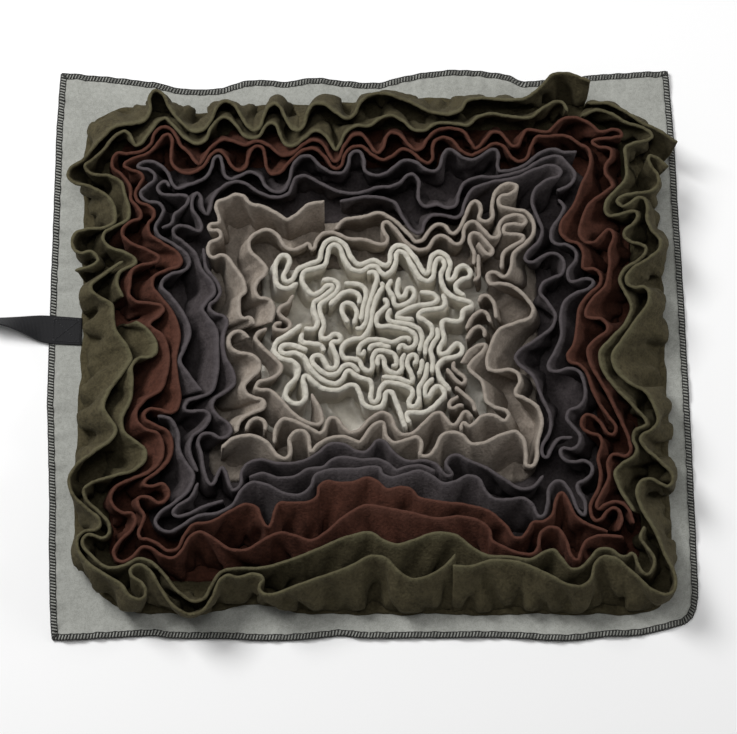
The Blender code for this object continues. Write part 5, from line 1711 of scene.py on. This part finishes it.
@dataclass(frozen=True)
class SoftLight:
    """A square soft light aimed at the mat.

    Attributes:
        name: its name.
        place: where it stands.
        size: length of its side.
        power: its power, in watts.
    """

    name: str
    place: tuple[float, float, float]
    size: float
    power: float

    def build(self) -> None:
        """Adds the light to the scene."""
        data = bpy.data.lights.new(self.name, "AREA")
        data.shape = "SQUARE"
        data.size = self.size
        data.energy = self.power
        light = bpy.data.objects.new(self.name, data)
        light.location = self.place
        light.rotation_euler = (-Vector(self.place)).to_track_quat("-Z", "Y").to_euler()
        bpy.context.scene.collection.objects.link(light)


@dataclass
class Studio:
    """The floor, the lights and the camera.

    Attributes:
        aim: the point the camera looks at.
        elevation: the camera's height above the horizon, in degrees.
        distance: from the camera to the aim.
        lens: focal length, in millimetres.
        sensor: width of the frame, in millimetres.
        floor_colour: linear colour of the floor.
        floor_reach: half the side of the floor.
        floor_level: height of the floor, just under the felt.
        daylight: strength of the white light from all round.
        lights: the lights.
    """

    aim: tuple[float, float, float] = (-0.000483, -0.020203, 0.0)
    elevation: float = 75.0
    distance: float = 2.5
    lens: float = 126.39
    sensor: float = 36.0
    floor_colour: tuple[float, float, float] = (.92, .92, .92)
    floor_reach: float = 6.0
    floor_level: float = -0.0004
    daylight: float = 0.18
    lights: tuple[SoftLight, ...] = (
        SoftLight("window_light", place=(-1.25, 0.95, 1.75), size=0.9, power=46.0),
        SoftLight("room_light", place=(-0.15, 0.05, 2.4), size=0.8, power=12.0),
        SoftLight("side_light", place=(1.50, 0.20, 0.85), size=0.4, power=7.0),
    )

    def build(self) -> None:
        """Sets up the scene round the mat."""
        self._camera()
        self._floor()
        for light in self.lights:
            light.build()
        world = bpy.context.scene.world or bpy.data.worlds.new("studio")
        bpy.context.scene.world = world
        world.use_nodes = True
        back = world.node_tree.nodes["Background"]
        back.inputs["Color"].default_value = (1.0, 1.0, 1.0, 1.0)
        back.inputs["Strength"].default_value = self.daylight
        bpy.context.scene.view_settings.view_transform = "Standard"

    def _camera(self) -> None:
        """Adds the camera."""
        data = bpy.data.cameras.new("camera")
        data.lens = self.lens
        data.sensor_width = self.sensor
        data.clip_end = 20.0
        camera = bpy.data.objects.new("camera", data)
        rise = math.radians(self.elevation)
        toward = Vector((0, -math.cos(rise), math.sin(rise)))
        camera.location = Vector(self.aim) + toward * self.distance
        camera.rotation_euler = (math.radians(90 - self.elevation), 0, 0)
        bpy.context.scene.collection.objects.link(camera)
        bpy.context.scene.camera = camera

    def _floor(self) -> None:
        """Adds the pale floor."""
        ends = ((-1, -1), (1, -1), (1, 1), (-1, 1))
        corners = [(x * self.floor_reach, y * self.floor_reach, self.floor_level) for x, y in ends]
        mesh = new_mesh(np.array(corners), [[0, 1, 2, 3]])
        material = bpy.data.materials.new("floor")
        material.use_nodes = True
        shader = material.node_tree.nodes["Principled BSDF"]
        shader.inputs["Base Color"].default_value = (*self.floor_colour, 1.0)
        shader.inputs["Roughness"].default_value = 0.9
        new_piece("floor", mesh, material)


def settled_frills() -> list[Frill]:
    """A frill for every solid whose name starts with a dye, pushed apart where they are too near.

    Returns:
        The frills, by the order of their names, which gives each its seed.
    """
    dyes = {colour.value for colour in FleeceColour}
    nodes = [node for node in sorted(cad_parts) if node.split("_")[0] in dyes]
    frills = []
    for seed, node in enumerate(nodes):
        habit = asdict(FLEECE_HABITS[FleeceColour(node.split("_")[0])])
        if node.startswith(OUTERMOST):
            habit.update(OUTERMOST_HABIT)
        frills.append(Frill(node, seed, **{**habit, **FRILL_HABITS.get(node, {})}))
    FrillPile(frills).settle()
    return frills


def main() -> None:
    """Builds the studio and the mat, piece by piece."""
    logging.basicConfig(level=logging.INFO, format="%(message)s")
    Studio().build()
    materials = Materials()
    pieces = [*FeltBase().build(materials), *Strap().build(materials)]
    pieces += [turning.build(materials) for turning in turnings()]
    pieces += [frill.build(materials) for frill in settled_frills()]
    for piece in pieces:
        LOG.info("%s: %d faces", piece.name, len(piece.data.polygons))


if __name__ == "__main__":
    main()
